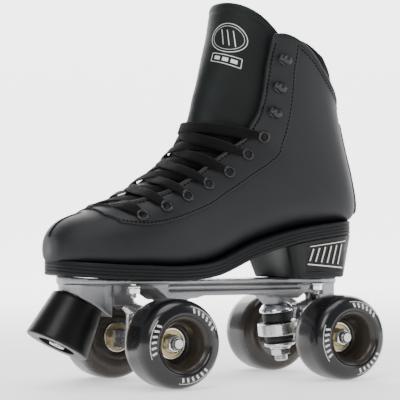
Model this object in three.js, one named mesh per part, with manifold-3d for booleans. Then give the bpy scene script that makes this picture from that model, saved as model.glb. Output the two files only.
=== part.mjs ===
// Quad roller skate: a high laced boot on a cast plate with two sprung trucks and four wheels.
// Millimetres. +X points to the toe, +Y to the skate's left, +Z up.
import * as THREE from 'three';
import { mergeVertices } from 'three/addons/utils/BufferGeometryUtils.js';
import Module from 'manifold-3d';

const wasm = await Module();
wasm.setup();

// ---------------------------------------------------------------- driving dimensions
const GAP = 0.3; // clearance left between pieces that touch
const WHEELBASE = 141; // front axle to rear axle
const WHEEL_DIAMETER = 62;
const WHEEL_WIDTH = 38.5;
const WHEEL_INNER_FACE = 29.2; // from the skate's middle plane to a wheel
const WHEEL_SHOULDER = 10.7; // rounding between tread and side
const BEARING_OD = 22;
const BEARING_BORE = 8.6;
const BEARING_WIDTH = 7;
const BEARING_INSET = 3.9; // wheel's inner face to the first bearing
const HUB_LIP = 0.8; // web between the two bearing seats
const AXLE_DIAMETER = 8;
const NUT_AF = 11;
const NUT_HEIGHT = 8;
const AXLE_OVERHANG = 1.9; // thread showing past the axle nut

const DECK_ABOVE_AXLE = 42.7; // axle centre to the plate's top
const FLANGE_THICKNESS = 4;
const FLANGE_HALF_WIDTH = 25;
const RAIL_HALF_WIDTH = 18.5;
const RAIL_DEPTH = 11.7; // plate top to the underside of the middle rail
const PLATE_REAR_OVERHANG = 24; // rear axle to the plate's end
const PLATE_NOSE_OVERHANG = 62; // front axle to the plate's nose
const NOSE_HALF_WIDTH = 14;

const KINGPIN_INBOARD = 22; // axle to kingpin ring centre, along the plate
const RING_ABOVE_AXLE = 4.7;
const KINGPIN_LEAN = 7; // degrees, foot of the kingpin leans towards the axle
const KINGPIN_DIAMETER = 10;
const KINGPIN_TIP = 24.4; // ring centre down to the tip
const PIVOT_OUTBOARD = 17.5; // axle to the pivot's ball
const PIVOT_ABOVE_AXLE = 28.5;
const PIVOT_BALL = 7;
const CUP_WALL = 2.2;
const CUP_FLOOR = 1.2;
const CUP_DEPTH = 4.5; // pivot to the cup's mouth
const RING_OD = 31;
const RING_BORE = 14.4;
const RING_HEIGHT = 9;
const CUSHION_OD = 22;
const UPPER_CUSHION = 7.2;
const LOWER_CUSHION = 5.2;
const RETAINER_OD = 25.6;
const RETAINER_HEIGHT = 6.2;
const LOWER_WASHER_OD = 23.6;
const LOWER_WASHER_HEIGHT = 3.2;
const KINGPIN_NUT_AF = 14;
const KINGPIN_NUT_HEIGHT = 6;
const BEAM_SIZE = 13;

const STOP_TOP_DIAMETER = 37.2;
const STOP_BOTTOM_DIAMETER = 46.6;
const STOP_HEIGHT = 34.5;
const STOP_TILT = 27.9; // degrees from upright
const STOP_FORWARD = 48.6; // front axle to the middle of the stop's top face
const STOP_BELOW_DECK = 14.7;
const STOP_RECESS_DIAMETER = 27;
const STOP_RECESS_DEPTH = 6;
const STOP_BOLT_DIAMETER = 7;

const SOLE_BOLT_DIAMETER = 5;
const SOLE_BOLT_SPREAD = 17; // from the middle plane
const SOLE_BOLT_REAR = 1; // outboard of the rear axle
const SOLE_BOLT_FRONT = 13.5; // outboard of the front axle
const SOLE_NUT_AF = 8;
const SOLE_NUT_HEIGHT = 5;

const BOOT_LENGTH = 254; // from the toe to the back of the heel
const BOOT_WIDTH = 84; // across the ball of the foot
const BOOT_RISE = 1; // stretches the shaft's height
const UPPER_THICKNESS = 3;
const SOLE_THICKNESS = 8;
const SOLE_MARGIN = 1.6; // sole past the upper
const OVERLAY_THICKNESS = 1;
const OVERLAY_GAP = 0.9;
const INSOLE_THICKNESS = 3;
const TONGUE_THICKNESS = 5.5;
const COLLAR_THICKNESS = 5.5;
const LACE_WIDTH = 7;
const LACE_THICKNESS = 1.2;
const LACE_RISE = [8, 34]; // degrees that a pass climbs forward: at the top eyelets, at the lowest ones
const HEEL_BREAST = -36; // x of the heel's front face at its top
const HEEL_BREAST_SLOPE = 0.35;
const HEEL_TAPER = 0.16; // sideways lean of the heel's walls

// ---------------------------------------------------------------- derived places
const WHEEL_R = WHEEL_DIAMETER / 2;
const AXLE_Z = WHEEL_R;
const DECK_Z = AXLE_Z + DECK_ABOVE_AXLE;
const FRONT_AXLE_X = WHEELBASE / 2;
const RAD = Math.PI / 180;

// ---------------------------------------------------------------- helpers
const V = (x, y, z) => new THREE.Vector3(x, y, z);

function toSolid(geometry) {
  const g = geometry.index ? geometry.clone() : geometry;
  for (const name of Object.keys(g.attributes)) if (name !== 'position') g.deleteAttribute(name);
  const m = mergeVertices(g, 1e-4);
  const tri = [];
  const index = m.index.array;
  for (let k = 0; k < index.length; k += 3) {
    const [a, b, c] = [index[k], index[k + 1], index[k + 2]];
    if (a !== b && b !== c && a !== c) tri.push(a, b, c);
  }
  return new wasm.Manifold(new wasm.Mesh({
    numProp: 3,
    vertProperties: new Float32Array(m.attributes.position.array),
    triVerts: new Uint32Array(tri),
  }));
}

function toGeometry(solid) {
  const mesh = solid.getMesh();
  const g = new THREE.BufferGeometry();
  g.setAttribute('position', new THREE.BufferAttribute(new Float32Array(mesh.vertProperties), 3));
  g.setIndex(new THREE.BufferAttribute(new Uint32Array(mesh.triVerts), 1));
  g.computeVertexNormals();
  return g;
}

const join = (list) => list.reduce((a, b) => a.add(b));
const cut = (body, list) => list.reduce((a, b) => a.subtract(b), body);

function box(x0, x1, y0, y1, z0, z1) {
  const g = new THREE.BoxGeometry(x1 - x0, y1 - y0, z1 - z0);
  g.translate((x0 + x1) / 2, (y0 + y1) / 2, (z0 + z1) / 2);
  return toSolid(g);
}

// cylinder or cone from point a (radius ra) to point b (radius rb)
function rod(a, b, ra, rb = ra, sides = 20, turn = 0) {
  const axis = b.clone().sub(a);
  const g = new THREE.CylinderGeometry(rb, ra, axis.length(), sides, 1);
  g.rotateY(turn);
  g.translate(0, axis.length() / 2, 0);
  g.applyQuaternion(new THREE.Quaternion().setFromUnitVectors(V(0, 1, 0), axis.normalize()));
  g.translate(a.x, a.y, a.z);
  return toSolid(g);
}

// a ring or disc turned about the axis from a to b: profile holds [radius, distance from a]
function turned(a, b, profile, sides = 20, turn = 0) {
  const axis = b.clone().sub(a).normalize();
  const pts = profile.map(([r, s]) => new THREE.Vector2(r, s));
  if (THREE.ShapeUtils.area(pts) < 0) pts.reverse();
  pts.push(pts[0].clone());
  const g = new THREE.LatheGeometry(pts, sides);
  g.rotateY(turn);
  g.applyQuaternion(new THREE.Quaternion().setFromUnitVectors(V(0, 1, 0), axis));
  g.translate(a.x, a.y, a.z);
  return g;
}

// outline in X and Z, spread evenly to both sides of the middle plane
function slabXZ(points, half) {
  const shape = new THREE.Shape(points.map(([x, z]) => new THREE.Vector2(x, z)));
  const g = new THREE.ExtrudeGeometry(shape, { depth: 2 * half, bevelEnabled: false, steps: 1 });
  g.rotateX(Math.PI / 2);
  g.translate(0, half, 0);
  return toSolid(g);
}

// outline in X and Y, standing from z0 to z1
function slabXY(points, z0, z1) {
  const shape = new THREE.Shape(points.map(([x, y]) => new THREE.Vector2(x, y)));
  const g = new THREE.ExtrudeGeometry(shape, { depth: z1 - z0, bevelEnabled: false, steps: 1 });
  g.translate(0, 0, z0);
  return toSolid(g);
}

const lerp = (a, b, u) => a + (b - a) * u;
function along(table, x) {
  if (x <= table[0][0]) return table[0][1];
  for (let k = 1; k < table.length; k++) {
    const [x0, y0] = table[k - 1];
    const [x1, y1] = table[k];
    if (x <= x1) return lerp(y0, y1, (x - x0) / (x1 - x0));
  }
  return table[table.length - 1][1];
}

// closed skin between two grids of points, rows by columns; a ring closes on itself when wrap is set
function skin(outer, inner, wrap = false) {
  const rows = outer.length;
  const cols = outer[0].length;
  const pos = [];
  const tri = (a, b, c) => pos.push(a.x, a.y, a.z, b.x, b.y, b.z, c.x, c.y, c.z);
  const quad = (a, b, c, d) => { tri(a, b, c); tri(a, c, d); };
  for (let i = 0; i + 1 < rows; i++) {
    for (let j = 0; j + 1 < cols; j++) {
      quad(outer[i][j], outer[i][j + 1], outer[i + 1][j + 1], outer[i + 1][j]);
      quad(inner[i][j], inner[i + 1][j], inner[i + 1][j + 1], inner[i][j + 1]);
    }
    if (!wrap) {
      quad(outer[i][0], outer[i + 1][0], inner[i + 1][0], inner[i][0]);
      const e = cols - 1;
      quad(outer[i][e], inner[i][e], inner[i + 1][e], outer[i + 1][e]);
    }
  }
  const l = rows - 1;
  for (let j = 0; j + 1 < cols; j++) {
    quad(outer[0][j], inner[0][j], inner[0][j + 1], outer[0][j + 1]);
    quad(outer[l][j], outer[l][j + 1], inner[l][j + 1], inner[l][j]);
  }
  const g = new THREE.BufferGeometry();
  g.setAttribute('position', new THREE.Float32BufferAttribute(pos, 3));
  return g;
}

// ---------------------------------------------------------------- the boot's surface
// Sections fan from the toe, where they stand upright, round the instep to the shaft, where they lie
// flat. A row holds the section's front point (x, z), its sole or back point (x, z), the half widths
// to the left and right, where the widest point lies, and how square its front and back are.
const STATIONS = [
  [142.0, 101.0, 142.2, 87.8, 5, 5, 0.50, 2.0, 2.4],
  [139.5, 109.0, 139.5, 87.0, 17, 15, 0.54, 2.0, 3.0],
  [130.0, 117.0, 130.0, 85.6, 28, 26, 0.60, 2.1, 3.6],
  [110.0, 124.0, 108.0, 84.0, 39, 38, 0.64, 2.1, 4.0],
  [88.0, 134.0, 84.0, 83.0, 43, 41, 0.66, 2.1, 4.0],
  [67.0, 147.0, 56.0, 82.3, 42, 38, 0.66, 2.1, 4.0],
  [50.0, 160.5, 26.0, 85.5, 38, 34, 0.66, 2.2, 3.6],
  [39.0, 173.0, -8.0, 98.5, 35, 32, 0.66, 2.2, 3.2],
  [33.0, 184.0, -45.0, 108.3, 35, 32, 0.66, 2.2, 3.0],
  [30.0, 193.0, -84.0, 113.8, 35, 33, 0.66, 2.2, 3.0],
  [28.0, 200.0, -104.5, 116.0, 34.5, 34, 0.62, 2.2, 2.8],
  [26.0, 208.0, -111.0, 126.0, 35.5, 35, 0.58, 2.2, 2.5],
  [23.0, 218.0, -108.0, 147.5, 37, 36, 0.55, 2.1, 2.3],
  [19.5, 230.0, -101.5, 172.0, 39, 38, 0.54, 2.1, 2.1],
  [16.0, 242.0, -95.5, 195.0, 40.5, 40, 0.53, 2.1, 2.1],
  [12.5, 254.0, -92.0, 216.0, 42, 41, 0.53, 2.1, 2.1],
  [10.0, 266.0, -90.5, 237.0, 43, 42, 0.53, 2.1, 2.1],
  [8.0, 279.0, -90.0, 257.0, 43.5, 42.5, 0.53, 2.1, 2.1],
];
const SHAPE_LENGTH = 254; // length, ball width and deck height that the stations are drawn at
const SHAPE_WIDTH = 84;
const SHAPE_DECK = 73.7;
const HEEL_DATUM = -112;
const RISE_FROM = 150;

const bootX = (x) => HEEL_DATUM + (x - HEEL_DATUM) * (BOOT_LENGTH / SHAPE_LENGTH);
const bootY = (y) => y * (BOOT_WIDTH / SHAPE_WIDTH);
const bootZ = (z) => z + (z > RISE_FROM ? (z - RISE_FROM) * (BOOT_RISE - 1) : 0) - SHAPE_DECK + DECK_Z
  + SOLE_THICKNESS - 8;

function station(t) {
  const n = STATIONS.length;
  const tt = Math.min(Math.max(t, 0), n - 1 - 1e-9);
  const i = Math.floor(tt);
  const u = tt - i;
  const row = (k) => STATIONS[Math.min(Math.max(k, 0), n - 1)];
  return row(i).map((p1, c) => {
    const p2 = row(i + 1)[c];
    const p0 = i === 0 ? 2 * p1 - p2 : row(i - 1)[c];
    const p3 = i + 2 > n - 1 ? 2 * p2 - p1 : row(i + 2)[c];
    return 0.5 * (2 * p1 + (p2 - p0) * u + (2 * p0 - 5 * p1 + 4 * p2 - p3) * u * u
      + (3 * p1 - p0 - 3 * p2 + p3) * u * u * u);
  });
}

const clamp01 = (x) => Math.min(Math.max(x, 0), 1);
// t runs from the toe to the top, a from the front middle (0) round the left side to the back (pi)
function surface(t, a) {
  const [fx, fz, bx, bz, wl, wr, qm, nt, nb] = station(t);
  let s = a;
  while (s > Math.PI) s -= 2 * Math.PI;
  while (s < -Math.PI) s += 2 * Math.PI;
  const al = Math.abs(s);
  const w = s >= 0 ? wl : wr;
  let y;
  let q;
  if (al <= Math.PI / 2) {
    y = clamp01(Math.sin(al)) ** (2 / nt);
    q = qm * (1 - clamp01(Math.cos(al)) ** (2 / nt));
  } else {
    y = clamp01(Math.cos(al - Math.PI / 2)) ** (2 / nb);
    q = qm + (1 - qm) * clamp01(Math.sin(al - Math.PI / 2)) ** (2 / nb);
  }
  return V(bootX(lerp(fx, bx, q)), bootY(y * w * Math.sign(s || 1)), bootZ(lerp(fz, bz, q)));
}

function normal(t, a) {
  const e = 2e-2;
  const lim = STATIONS.length - 1;
  const t0 = Math.max(t - e, 0);
  const t1 = Math.min(t + e, lim);
  const dt = surface(t1, a).sub(surface(t0, a));
  const da = surface(t, a + e).sub(surface(t, a - e));
  return da.cross(dt).normalize();
}
const point = (t, a, off) => surface(t, a).addScaledVector(normal(t, a), off);

// throat edge, reach of the eyestay and top line, as stations or angles of the surface
const THROAT_T = 3.1;
const TOP_T = 15.45;
const THROAT_EDGE = [[3.1, 0], [3.35, 0.35], [4, 0.6], [5, 0.75], [6.5, 0.85], [7.76, 0.9], [8.73, 0.91],
  [10.54, 0.95], [11.72, 1.03], [12.8, 1.07], [15.45, 1.12]];
const EYESTAY_EDGE = [[2.85, 0.3], [2.95, 0.61], [3.3, 1.02], [3.9, 1.23], [4.55, 1.29], [5.45, 1.32],
  [6.54, 1.37], [7.6, 1.35], [9.08, 1.27], [10.89, 1.32], [12.13, 1.4], [13.46, 1.47], [15.5, 1.53]];
const TOP_LINE = [[0, 15.45], [1.12, 15.45], [1.24, 15.75], [1.42, 15.8], [1.55, 15.7], [1.72, 15.5],
  [1.95, 15.1], [2.23, 14.75], [2.6, 14.45], [Math.PI, 14.3]];
const topAt = (a) => along(TOP_LINE, a > Math.PI ? 2 * Math.PI - a : Math.abs(a));
const throatAt = (t) => (t <= THROAT_T ? 0 : along(THROAT_EDGE, t));

const EYELETS = [[10.46, 1.11], [8.57, 1.08], [7.43, 1.14], [6.51, 1.09], [5.61, 1.04], [4.79, 1.02],
  [3.98, 1.01]];
const HOOKS = [[14.6, 1.31], [13.26, 1.26], [12.08, 1.21]];

// ---------------------------------------------------------------- boot pieces
const UPPER_ROWS = [0, 0.5, 1, 1.7, 2.4, THROAT_T, 3.6, 4.4, 5.4, 6.3, 7.2, 8.3, 9.4, 10.2, 11, 12, 13.2,
  14.4, TOP_T];
const UPPER_COLS = 28;

function upperGrid(rows, off) {
  return rows.map((tn) => {
    const a0 = throatAt(tn);
    const line = [];
    for (let j = 0; j <= UPPER_COLS; j++) {
      const a = a0 + (2 * Math.PI - 2 * a0) * (j / UPPER_COLS);
      line.push(point(tn * (topAt(a) / TOP_T), a, off));
    }
    if (tn <= THROAT_T) line[UPPER_COLS] = line[0].clone();
    return line;
  });
}

function bootUpper() {
  const outer = upperGrid(UPPER_ROWS, 0);
  const innerRows = UPPER_ROWS.map((t, i) => (i === 0 ? 0.3 : t));
  const inner = upperGrid(innerRows, -UPPER_THICKNESS);
  const pos = [];
  const tri = (a, b, c) => pos.push(a.x, a.y, a.z, b.x, b.y, b.z, c.x, c.y, c.z);
  const quad = (a, b, c, d) => { tri(a, b, c); tri(a, c, d); };
  const last = UPPER_ROWS.length - 1;
  for (let i = 0; i < last; i++) {
    for (let j = 0; j < UPPER_COLS; j++) {
      quad(outer[i][j], outer[i][j + 1], outer[i + 1][j + 1], outer[i + 1][j]);
      quad(inner[i][j], inner[i + 1][j], inner[i + 1][j + 1], inner[i][j + 1]);
    }
    if (UPPER_ROWS[i] >= THROAT_T) {
      quad(outer[i][0], outer[i + 1][0], inner[i + 1][0], inner[i][0]);
      quad(outer[i][UPPER_COLS], inner[i][UPPER_COLS], inner[i + 1][UPPER_COLS], outer[i + 1][UPPER_COLS]);
    }
  }
  for (let j = 0; j < UPPER_COLS; j++) {
    quad(outer[last][j], outer[last][j + 1], inner[last][j + 1], inner[last][j]);
  }
  for (const [grid, flip] of [[outer, false], [inner, true]]) {
    const mid = V(0, 0, 0);
    for (let j = 0; j < UPPER_COLS; j++) mid.addScaledVector(grid[0][j], 1 / UPPER_COLS);
    for (let j = 0; j < UPPER_COLS; j++) {
      if (flip) tri(mid, grid[0][j], grid[0][j + 1]);
      else tri(mid, grid[0][j + 1], grid[0][j]);
    }
  }
  const g = new THREE.BufferGeometry();
  g.setAttribute('position', new THREE.Float32BufferAttribute(pos, 3));
  return toSolid(g);
}

// a patch of overlay between two distances from the surface; side is 1 for left, -1 for right
function patch(tRows, aAt, cols, low, high, side = 1) {
  const make = (off) => tRows.map((t) => {
    const [a0, a1] = aAt(t);
    return Array.from({ length: cols + 1 }, (_, j) => {
      const a = lerp(a0, a1, j / cols);
      const o = typeof off === 'function' ? off(t, a) : off;
      const tt = typeof t === 'number' ? t : t(a);
      return point(tt, side * a, o);
    });
  });
  let outer = make(high);
  let inner = make(low);
  if (side < 0) { outer = outer.map((r) => r.reverse()); inner = inner.map((r) => r.reverse()); }
  return toSolid(skin(outer, inner));
}

function eyestay(side) {
  const rows = [2.98, 3.3, 3.7, 4.4, 5.4, 6.3, 7.2, 8.3, 9.4, 10.2, 11, 12, 13.2, 14.4, 15.4];
  const low = OVERLAY_GAP;
  const high = OVERLAY_GAP + OVERLAY_THICKNESS;
  const flap = patch(rows, (t) => [Math.max(throatAt(t), 0.03), along(EYESTAY_EDGE, t)], 5, low, high, side);
  const parts = [flap];
  for (const [t, a] of EYELETS) {
    parts.push(rod(point(t, side * a, low + 0.3), point(t, side * a, high + 0.4), 4.2, 3.8, 6));
  }
  for (const [t, a] of HOOKS) {
    const at = (off) => point(t, side * a, off);
    parts.push(rod(at(low + 0.2), at(high + 0.8), 4, 3.4, 8));
    parts.push(rod(at(high), at(high + 4.2), 2.1, 2.1, 6));
    parts.push(rod(at(high + 3.4), at(high + 6.4), 4.8, 3.2, 8));
  }
  return join(parts);
}

function backstay() {
  const rows = [10.7, 11.2, 11.8, 12.5, 13.2, 13.8];
  const low = OVERLAY_GAP;
  return patch(rows, () => [2.72, 2 * Math.PI - 2.72], 6, low, low + OVERLAY_THICKNESS);
}

function collarPadding() {
  const outer = [];
  const inner = [];
  const lift = [-3.2, -2.2, -1.1, -0.3, 0.3];
  const fill = [1.2, 4, COLLAR_THICKNESS, COLLAR_THICKNESS, 2.4];
  lift.forEach((d, i) => {
    const o = [];
    const n = [];
    for (let j = 0; j <= 16; j++) {
      const a = lerp(1.5, 2 * Math.PI - 1.5, j / 16);
      o.push(point(topAt(a) + d, a, -UPPER_THICKNESS - 0.8));
      n.push(point(topAt(a) + d, a, -UPPER_THICKNESS - 0.8 - fill[i]));
    }
    outer.push(o);
    inner.push(n);
  });
  return toSolid(skin(outer, inner));
}

// the tongue starts under the vamp, in front of the throat, and reaches under both facings
const TONGUE_ROWS = [2.7, 3.1, 3.6, 4.2, 5, 6, 7, 8, 9, 10, 11, 12, 13, 14, 15, 16, 16.6, 17];
const TONGUE_TOP = 16.9;
const TONGUE_EDGE = [[2.7, 0.4], [3.1, 0.58], [3.6, 0.7], [4.2, 0.8], [5, 0.9], [6, 1], [8, 1.1], [10, 1.18],
  [12, 1.24], [17, 1.24]];
function tongue() {
  const cols = 10;
  const build = (depth) => TONGUE_ROWS.map((t) => {
    const row = [];
    for (let j = 0; j <= cols; j++) {
      const u = (2 * j) / cols - 1;
      const a = u * along(TONGUE_EDGE, t);
      const edge = Math.abs(u);
      const drop = t > 14 ? ((t - 14) / 3) * (1.1 * edge ** 3) : 0;
      const clear = clamp01((t - 3.6) / 1.2); // 0 under the vamp, 1 inside the open throat
      const crown = 2.1 * clear * Math.max(1 - (a / Math.max(throatAt(t), 0.35)) ** 2, 0) + 0.9 * (clear - 1);
      const thin = depth > 0 ? depth * (1 - 0.75 * edge ** 4) * (t > 16.5 ? 0.6 : 1) : 0;
      const tt = Math.min(t, TONGUE_TOP) - drop;
      row.push(point(tt, a, -UPPER_THICKNESS - 1.2 + crown - thin));
    }
    return row;
  });
  return toSolid(skin(build(0), build(TONGUE_THICKNESS)));
}

// flat lace: up both sides in crossing passes, straight across at the bottom and the top, folded back
// over itself at each eyelet, so that every pass has a low end and a high end
// the row where a taut pass crosses angle a: each pass lies in one plane, through its two eyelets
function tautRow(a, foot, square) {
  let low = 2.6;
  let high = 12.5;
  for (let k = 0; k < 24; k++) {
    const middle = (low + high) / 2;
    if (point(middle, a, 0).sub(foot).dot(square) < 0) low = middle;
    else high = middle;
  }
  return (low + high) / 2;
}

function laces() {
  const low = OVERLAY_GAP + OVERLAY_THICKNESS + 0.9 + LACE_THICKNESS / 2 + GAP;
  const high = low + LACE_THICKNESS + 1;
  const last = EYELETS.length - 1;
  const passes = [];
  let side = -1;
  for (let k = 0; k < last; k++, side = -side) passes.push([k, side, k + 1, -side, high, low]);
  passes.push([last, side, last, -side, high, high]);
  side = -side;
  for (let k = last; k > 0; k--, side = -side) passes.push([k, side, k - 1, -side, low, high]);
  passes.push([0, side, 0, -side, low, low]);
  const steps = [0, 0.06, 0.12, 0.18, 0.25, 0.32, 0.4, 0.5, 0.6, 0.68, 0.75, 0.82, 0.88, 0.94, 1];
  const line = [];
  passes.forEach(([k0, s0, k1, s1, h0, h1], n) => {
    const [t0, a0] = EYELETS[k0];
    const [t1, a1] = EYELETS[k1];
    const foot = point(t0, s0 * a0, 0);
    const share = ((t0 + t1) / 2 - EYELETS[0][0]) / (EYELETS[last][0] - EYELETS[0][0]);
    const rise = lerp(LACE_RISE[0], LACE_RISE[1], share) * RAD;
    const square = point(t1, s1 * a1, 0).sub(foot).cross(V(Math.cos(rise), 0, Math.sin(rise)));
    if (square.z < 0) square.negate();
    const pts = steps.map((u) => {
      const a = lerp(s0 * a0, s1 * a1, u);
      const t = tautRow(a, foot, square);
      const open = Math.max(throatAt(t), 0.45) - 0.08;
      const dip = 3.2 * Math.max(0, 1 - (a / open) ** 2);
      const h = lerp(h0, h1, clamp01((u - 0.68) / 0.12));
      return { p: point(t, a, h - dip), n: normal(t, a) };
    });
    const flip = n % 2 ? -1 : 1;
    pts.forEach((q, i) => {
      const b = pts[Math.min(i + 1, pts.length - 1)].p;
      const c = pts[Math.max(i - 1, 0)].p;
      const dir = b.clone().sub(c).normalize();
      const across = q.n.clone().cross(dir).normalize().multiplyScalar(flip);
      line.push({ p: q.p, across, up: dir.clone().cross(across).normalize() });
    });
    if (n + 1 < passes.length) {
      const end = pts[pts.length - 1];
      const dir = end.p.clone().sub(pts[pts.length - 2].p).normalize();
      const next = passes[n + 1];
      const rise = next[4] - h1;
      const mid = end.p.clone().addScaledVector(end.n, rise / 2);
      for (const f of [45, 90, 135]) {
        const p = mid.clone().addScaledVector(end.n, (-rise / 2) * Math.cos(f * RAD))
          .addScaledVector(dir, (Math.abs(rise) / 2) * Math.sin(f * RAD));
        line.push({ p, fold: f / 180 });
      }
    }
  });
  line.forEach((q, i) => { // the folds turn the ribbon evenly from one pass to the next
    if (q.fold === undefined) return;
    const k = Math.round(q.fold * 4);
    const before = line[i - k];
    const after = line[i + 4 - k];
    q.across = before.across.clone().lerp(after.across, q.fold).normalize();
    const dir = line[i + 1].p.clone().sub(line[i - 1].p).normalize();
    q.up = dir.clone().cross(q.across).normalize();
    q.across = q.up.clone().cross(dir).normalize();
  });
  const ring = line.map((q) => [[1, 1], [-1, 1], [-1, -1], [1, -1]].map(([x, y]) => q.p.clone()
    .addScaledVector(q.across, (x * LACE_WIDTH) / 2).addScaledVector(q.up, (y * LACE_THICKNESS) / 2)));
  const pos = [];
  const tri = (a, b, c) => pos.push(a.x, a.y, a.z, b.x, b.y, b.z, c.x, c.y, c.z);
  for (let i = 0; i + 1 < ring.length; i++) {
    for (let j = 0; j < 4; j++) {
      const [a, b] = [ring[i][j], ring[i][(j + 1) % 4]];
      const [d, c] = [ring[i + 1][j], ring[i + 1][(j + 1) % 4]];
      tri(a, b, c);
      tri(a, c, d);
    }
  }
  const e = ring.length - 1;
  tri(ring[0][2], ring[0][1], ring[0][0]);
  tri(ring[0][3], ring[0][2], ring[0][0]);
  tri(ring[e][0], ring[e][1], ring[e][2]);
  tri(ring[e][0], ring[e][2], ring[e][3]);
  const g = new THREE.BufferGeometry();
  g.setAttribute('position', new THREE.Float32BufferAttribute(pos, 3));
  return g;
}

// ---------------------------------------------------------------- sole, heel and insole
// height of the boot's bottom along the skate, from the upper's own rows
const BOTTOM = UPPER_ROWS.filter((t) => t < 10.5).map((t) => {
  const p = surface((t * topAt(Math.PI)) / TOP_T, Math.PI);
  return [p.x, p.z];
}).reverse();
const bottomAt = (x) => {
  const [x0, z0] = BOTTOM[0];
  const [x1, z1] = BOTTOM[1];
  return x < x0 ? z0 + ((x - x0) * (z1 - z0)) / (x1 - x0) : along(BOTTOM, x);
};
const slopeAt = (x) => (bottomAt(x + 2) - bottomAt(x - 2)) / 4;
const SOLE_GAP = 0.5; // under the upper's rounded edge
const soleTop = (x) => bottomAt(x) - SOLE_GAP;
const soleLow = (x) => soleTop(x) - SOLE_THICKNESS * Math.sqrt(1 + slopeAt(x) ** 2);

// half widths of the upper's foot along the skate, left and right
const FOOT = [[-107.2, 0, 0], [-106.2, 8, 8], [-103, 15.5, 15.5], [-98.2, 22, 21.6], [-92, 26.8, 26],
  [-84.5, 30, 29], [-75, 31.8, 30.5], [-60, 33, 31], [-40, 34, 31], [-20, 34, 31], [0, 34.5, 31.5],
  [20, 36.5, 33], [40, 40, 36], [60, 42, 38.6], [78, 43, 41], [94, 42.5, 41], [108, 39.5, 38.5],
  [120, 35, 33.5], [129, 29.5, 27.5], [135.5, 23.5, 21.5], [139.8, 17, 15], [142, 9.5, 8.5], [142.6, 0, 0]];

function footOutline(margin) {
  const left = FOOT.map(([x, l]) => [bootX(x), bootY(l)]);
  const right = FOOT.map(([x, , r]) => [bootX(x), bootY(r)]);
  const xs = left.map(([x]) => x);
  for (const [x] of BOTTOM) if (xs.every((o) => Math.abs(o - x) > 2.5)) xs.push(x);
  xs.sort((a, b) => a - b);
  const pts = xs.filter((x) => x >= left[0][0] && x <= left[left.length - 1][0])
    .map((x) => [x, along(left, x), -along(right, x)]);
  const loop = [];
  for (const [x, l] of pts) loop.push([x, l]);
  for (const [x, , r] of pts.slice(1, -1).reverse()) loop.push([x, r]);
  const n = loop.length;
  return loop.map(([x, y], i) => { // pushed out square to the outline
    const [ax, ay] = loop[(i + n - 1) % n];
    const [bx, by] = loop[(i + 1) % n];
    const d = Math.hypot(bx - ax, by - ay);
    return [x - (margin * (by - ay)) / d, y + (margin * (bx - ax)) / d];
  });
}

// a slab over the foot's outline between two heights that follow the skate's length; every point of the
// outline has a partner straight across it, so each strip between partners is flat
function footSlab(outline, top, low, keep = () => true) {
  const n = outline.length;
  const half = n / 2;
  const strips = [];
  for (let i = 0; i <= half; i++) {
    const l = outline[i];
    const r = outline[(n - i) % n];
    if (keep((l[0] + r[0]) / 2)) strips.push([l, r]);
  }
  const outer = [];
  const inner = [];
  for (const [l, r] of strips) {
    const x = (l[0] + r[0]) / 2;
    outer.push([V(l[0], l[1], top(x)), V(r[0], r[1], top(x))]);
    inner.push([V(l[0], l[1], low(x)), V(r[0], r[1], low(x))]);
  }
  return toSolid(skin(outer, inner));
}

function outsole() {
  return footSlab(footOutline(SOLE_MARGIN), soleTop, soleLow);
}

const INSOLE_SHARE = [[-107, 0.66], [-60, 0.6], [0, 0.6], [40, 0.72], [80, 0.8], [130, 0.78]];
function insole() {
  const lift = UPPER_THICKNESS + 2 * GAP + 0.9;
  const z0 = (x) => bottomAt(x) + lift * Math.sqrt(1 + slopeAt(x) ** 2);
  const share = INSOLE_SHARE.map(([x, part]) => [bootX(x), part]);
  const outline = footOutline(-(UPPER_THICKNESS + 3)).map(([x, y]) => [x, y * along(share, x)]);
  return footSlab(outline, (x) => z0(x) + INSOLE_THICKNESS, z0,
    (x) => x > bootX(-98) && x < bootX(118));
}

// stacked heel under the back of the sole: a flat front that leans back and walls that lean in
function heelBlock() {
  const base = DECK_Z + GAP;
  const outline = footOutline(SOLE_MARGIN - 0.8);
  const n = outline.length;
  const half = n / 2;
  const front = bootX(HEEL_BREAST);
  const outer = [];
  const inner = [];
  const xs = [];
  for (let i = 0; i <= half; i++) {
    const x = (outline[i][0] + outline[(n - i) % n][0]) / 2;
    if (x < front - 1) xs.push([x, outline[i][1], outline[(n - i) % n][1]]);
  }
  const end = xs[xs.length - 1];
  xs.push([front, end[1], end[2]]);
  for (const [x, l, r] of xs) {
    const top = soleLow(x) - GAP;
    const drop = top - base;
    const lean = x < bootX(-100) ? (drop * HEEL_TAPER) * 0.75 : 0;
    const back = drop * HEEL_BREAST_SLOPE * clamp01((x - bootX(-60)) / (front - bootX(-60)));
    const slim = 1 - (drop * HEEL_TAPER) / Math.max(l, 24);
    outer.push([V(x, l, top), V(x, r, top)]);
    inner.push([V(x + lean - back, l * slim, base), V(x + lean - back, r * slim, base)]);
  }
  return toSolid(skin(outer, inner));
}

// ---------------------------------------------------------------- plate
// each truck is drawn with u outboard from its axle and w up from its axle; end is 1 at the front
const truckPoint = (end, u, y, w) => V(end * (FRONT_AXLE_X + u), y, AXLE_Z + w);
const lean = KINGPIN_LEAN * RAD;
const kingpin = (end, s) => truckPoint(end, -KINGPIN_INBOARD + s * Math.sin(lean), 0,
  RING_ABOVE_AXLE - s * Math.cos(lean)); // s runs down the kingpin from the ring's centre
const pivot = (end) => truckPoint(end, PIVOT_OUTBOARD, 0, PIVOT_ABOVE_AXLE);
const steerAxis = (end) => pivot(end).sub(kingpin(end, 0)).normalize();

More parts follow.
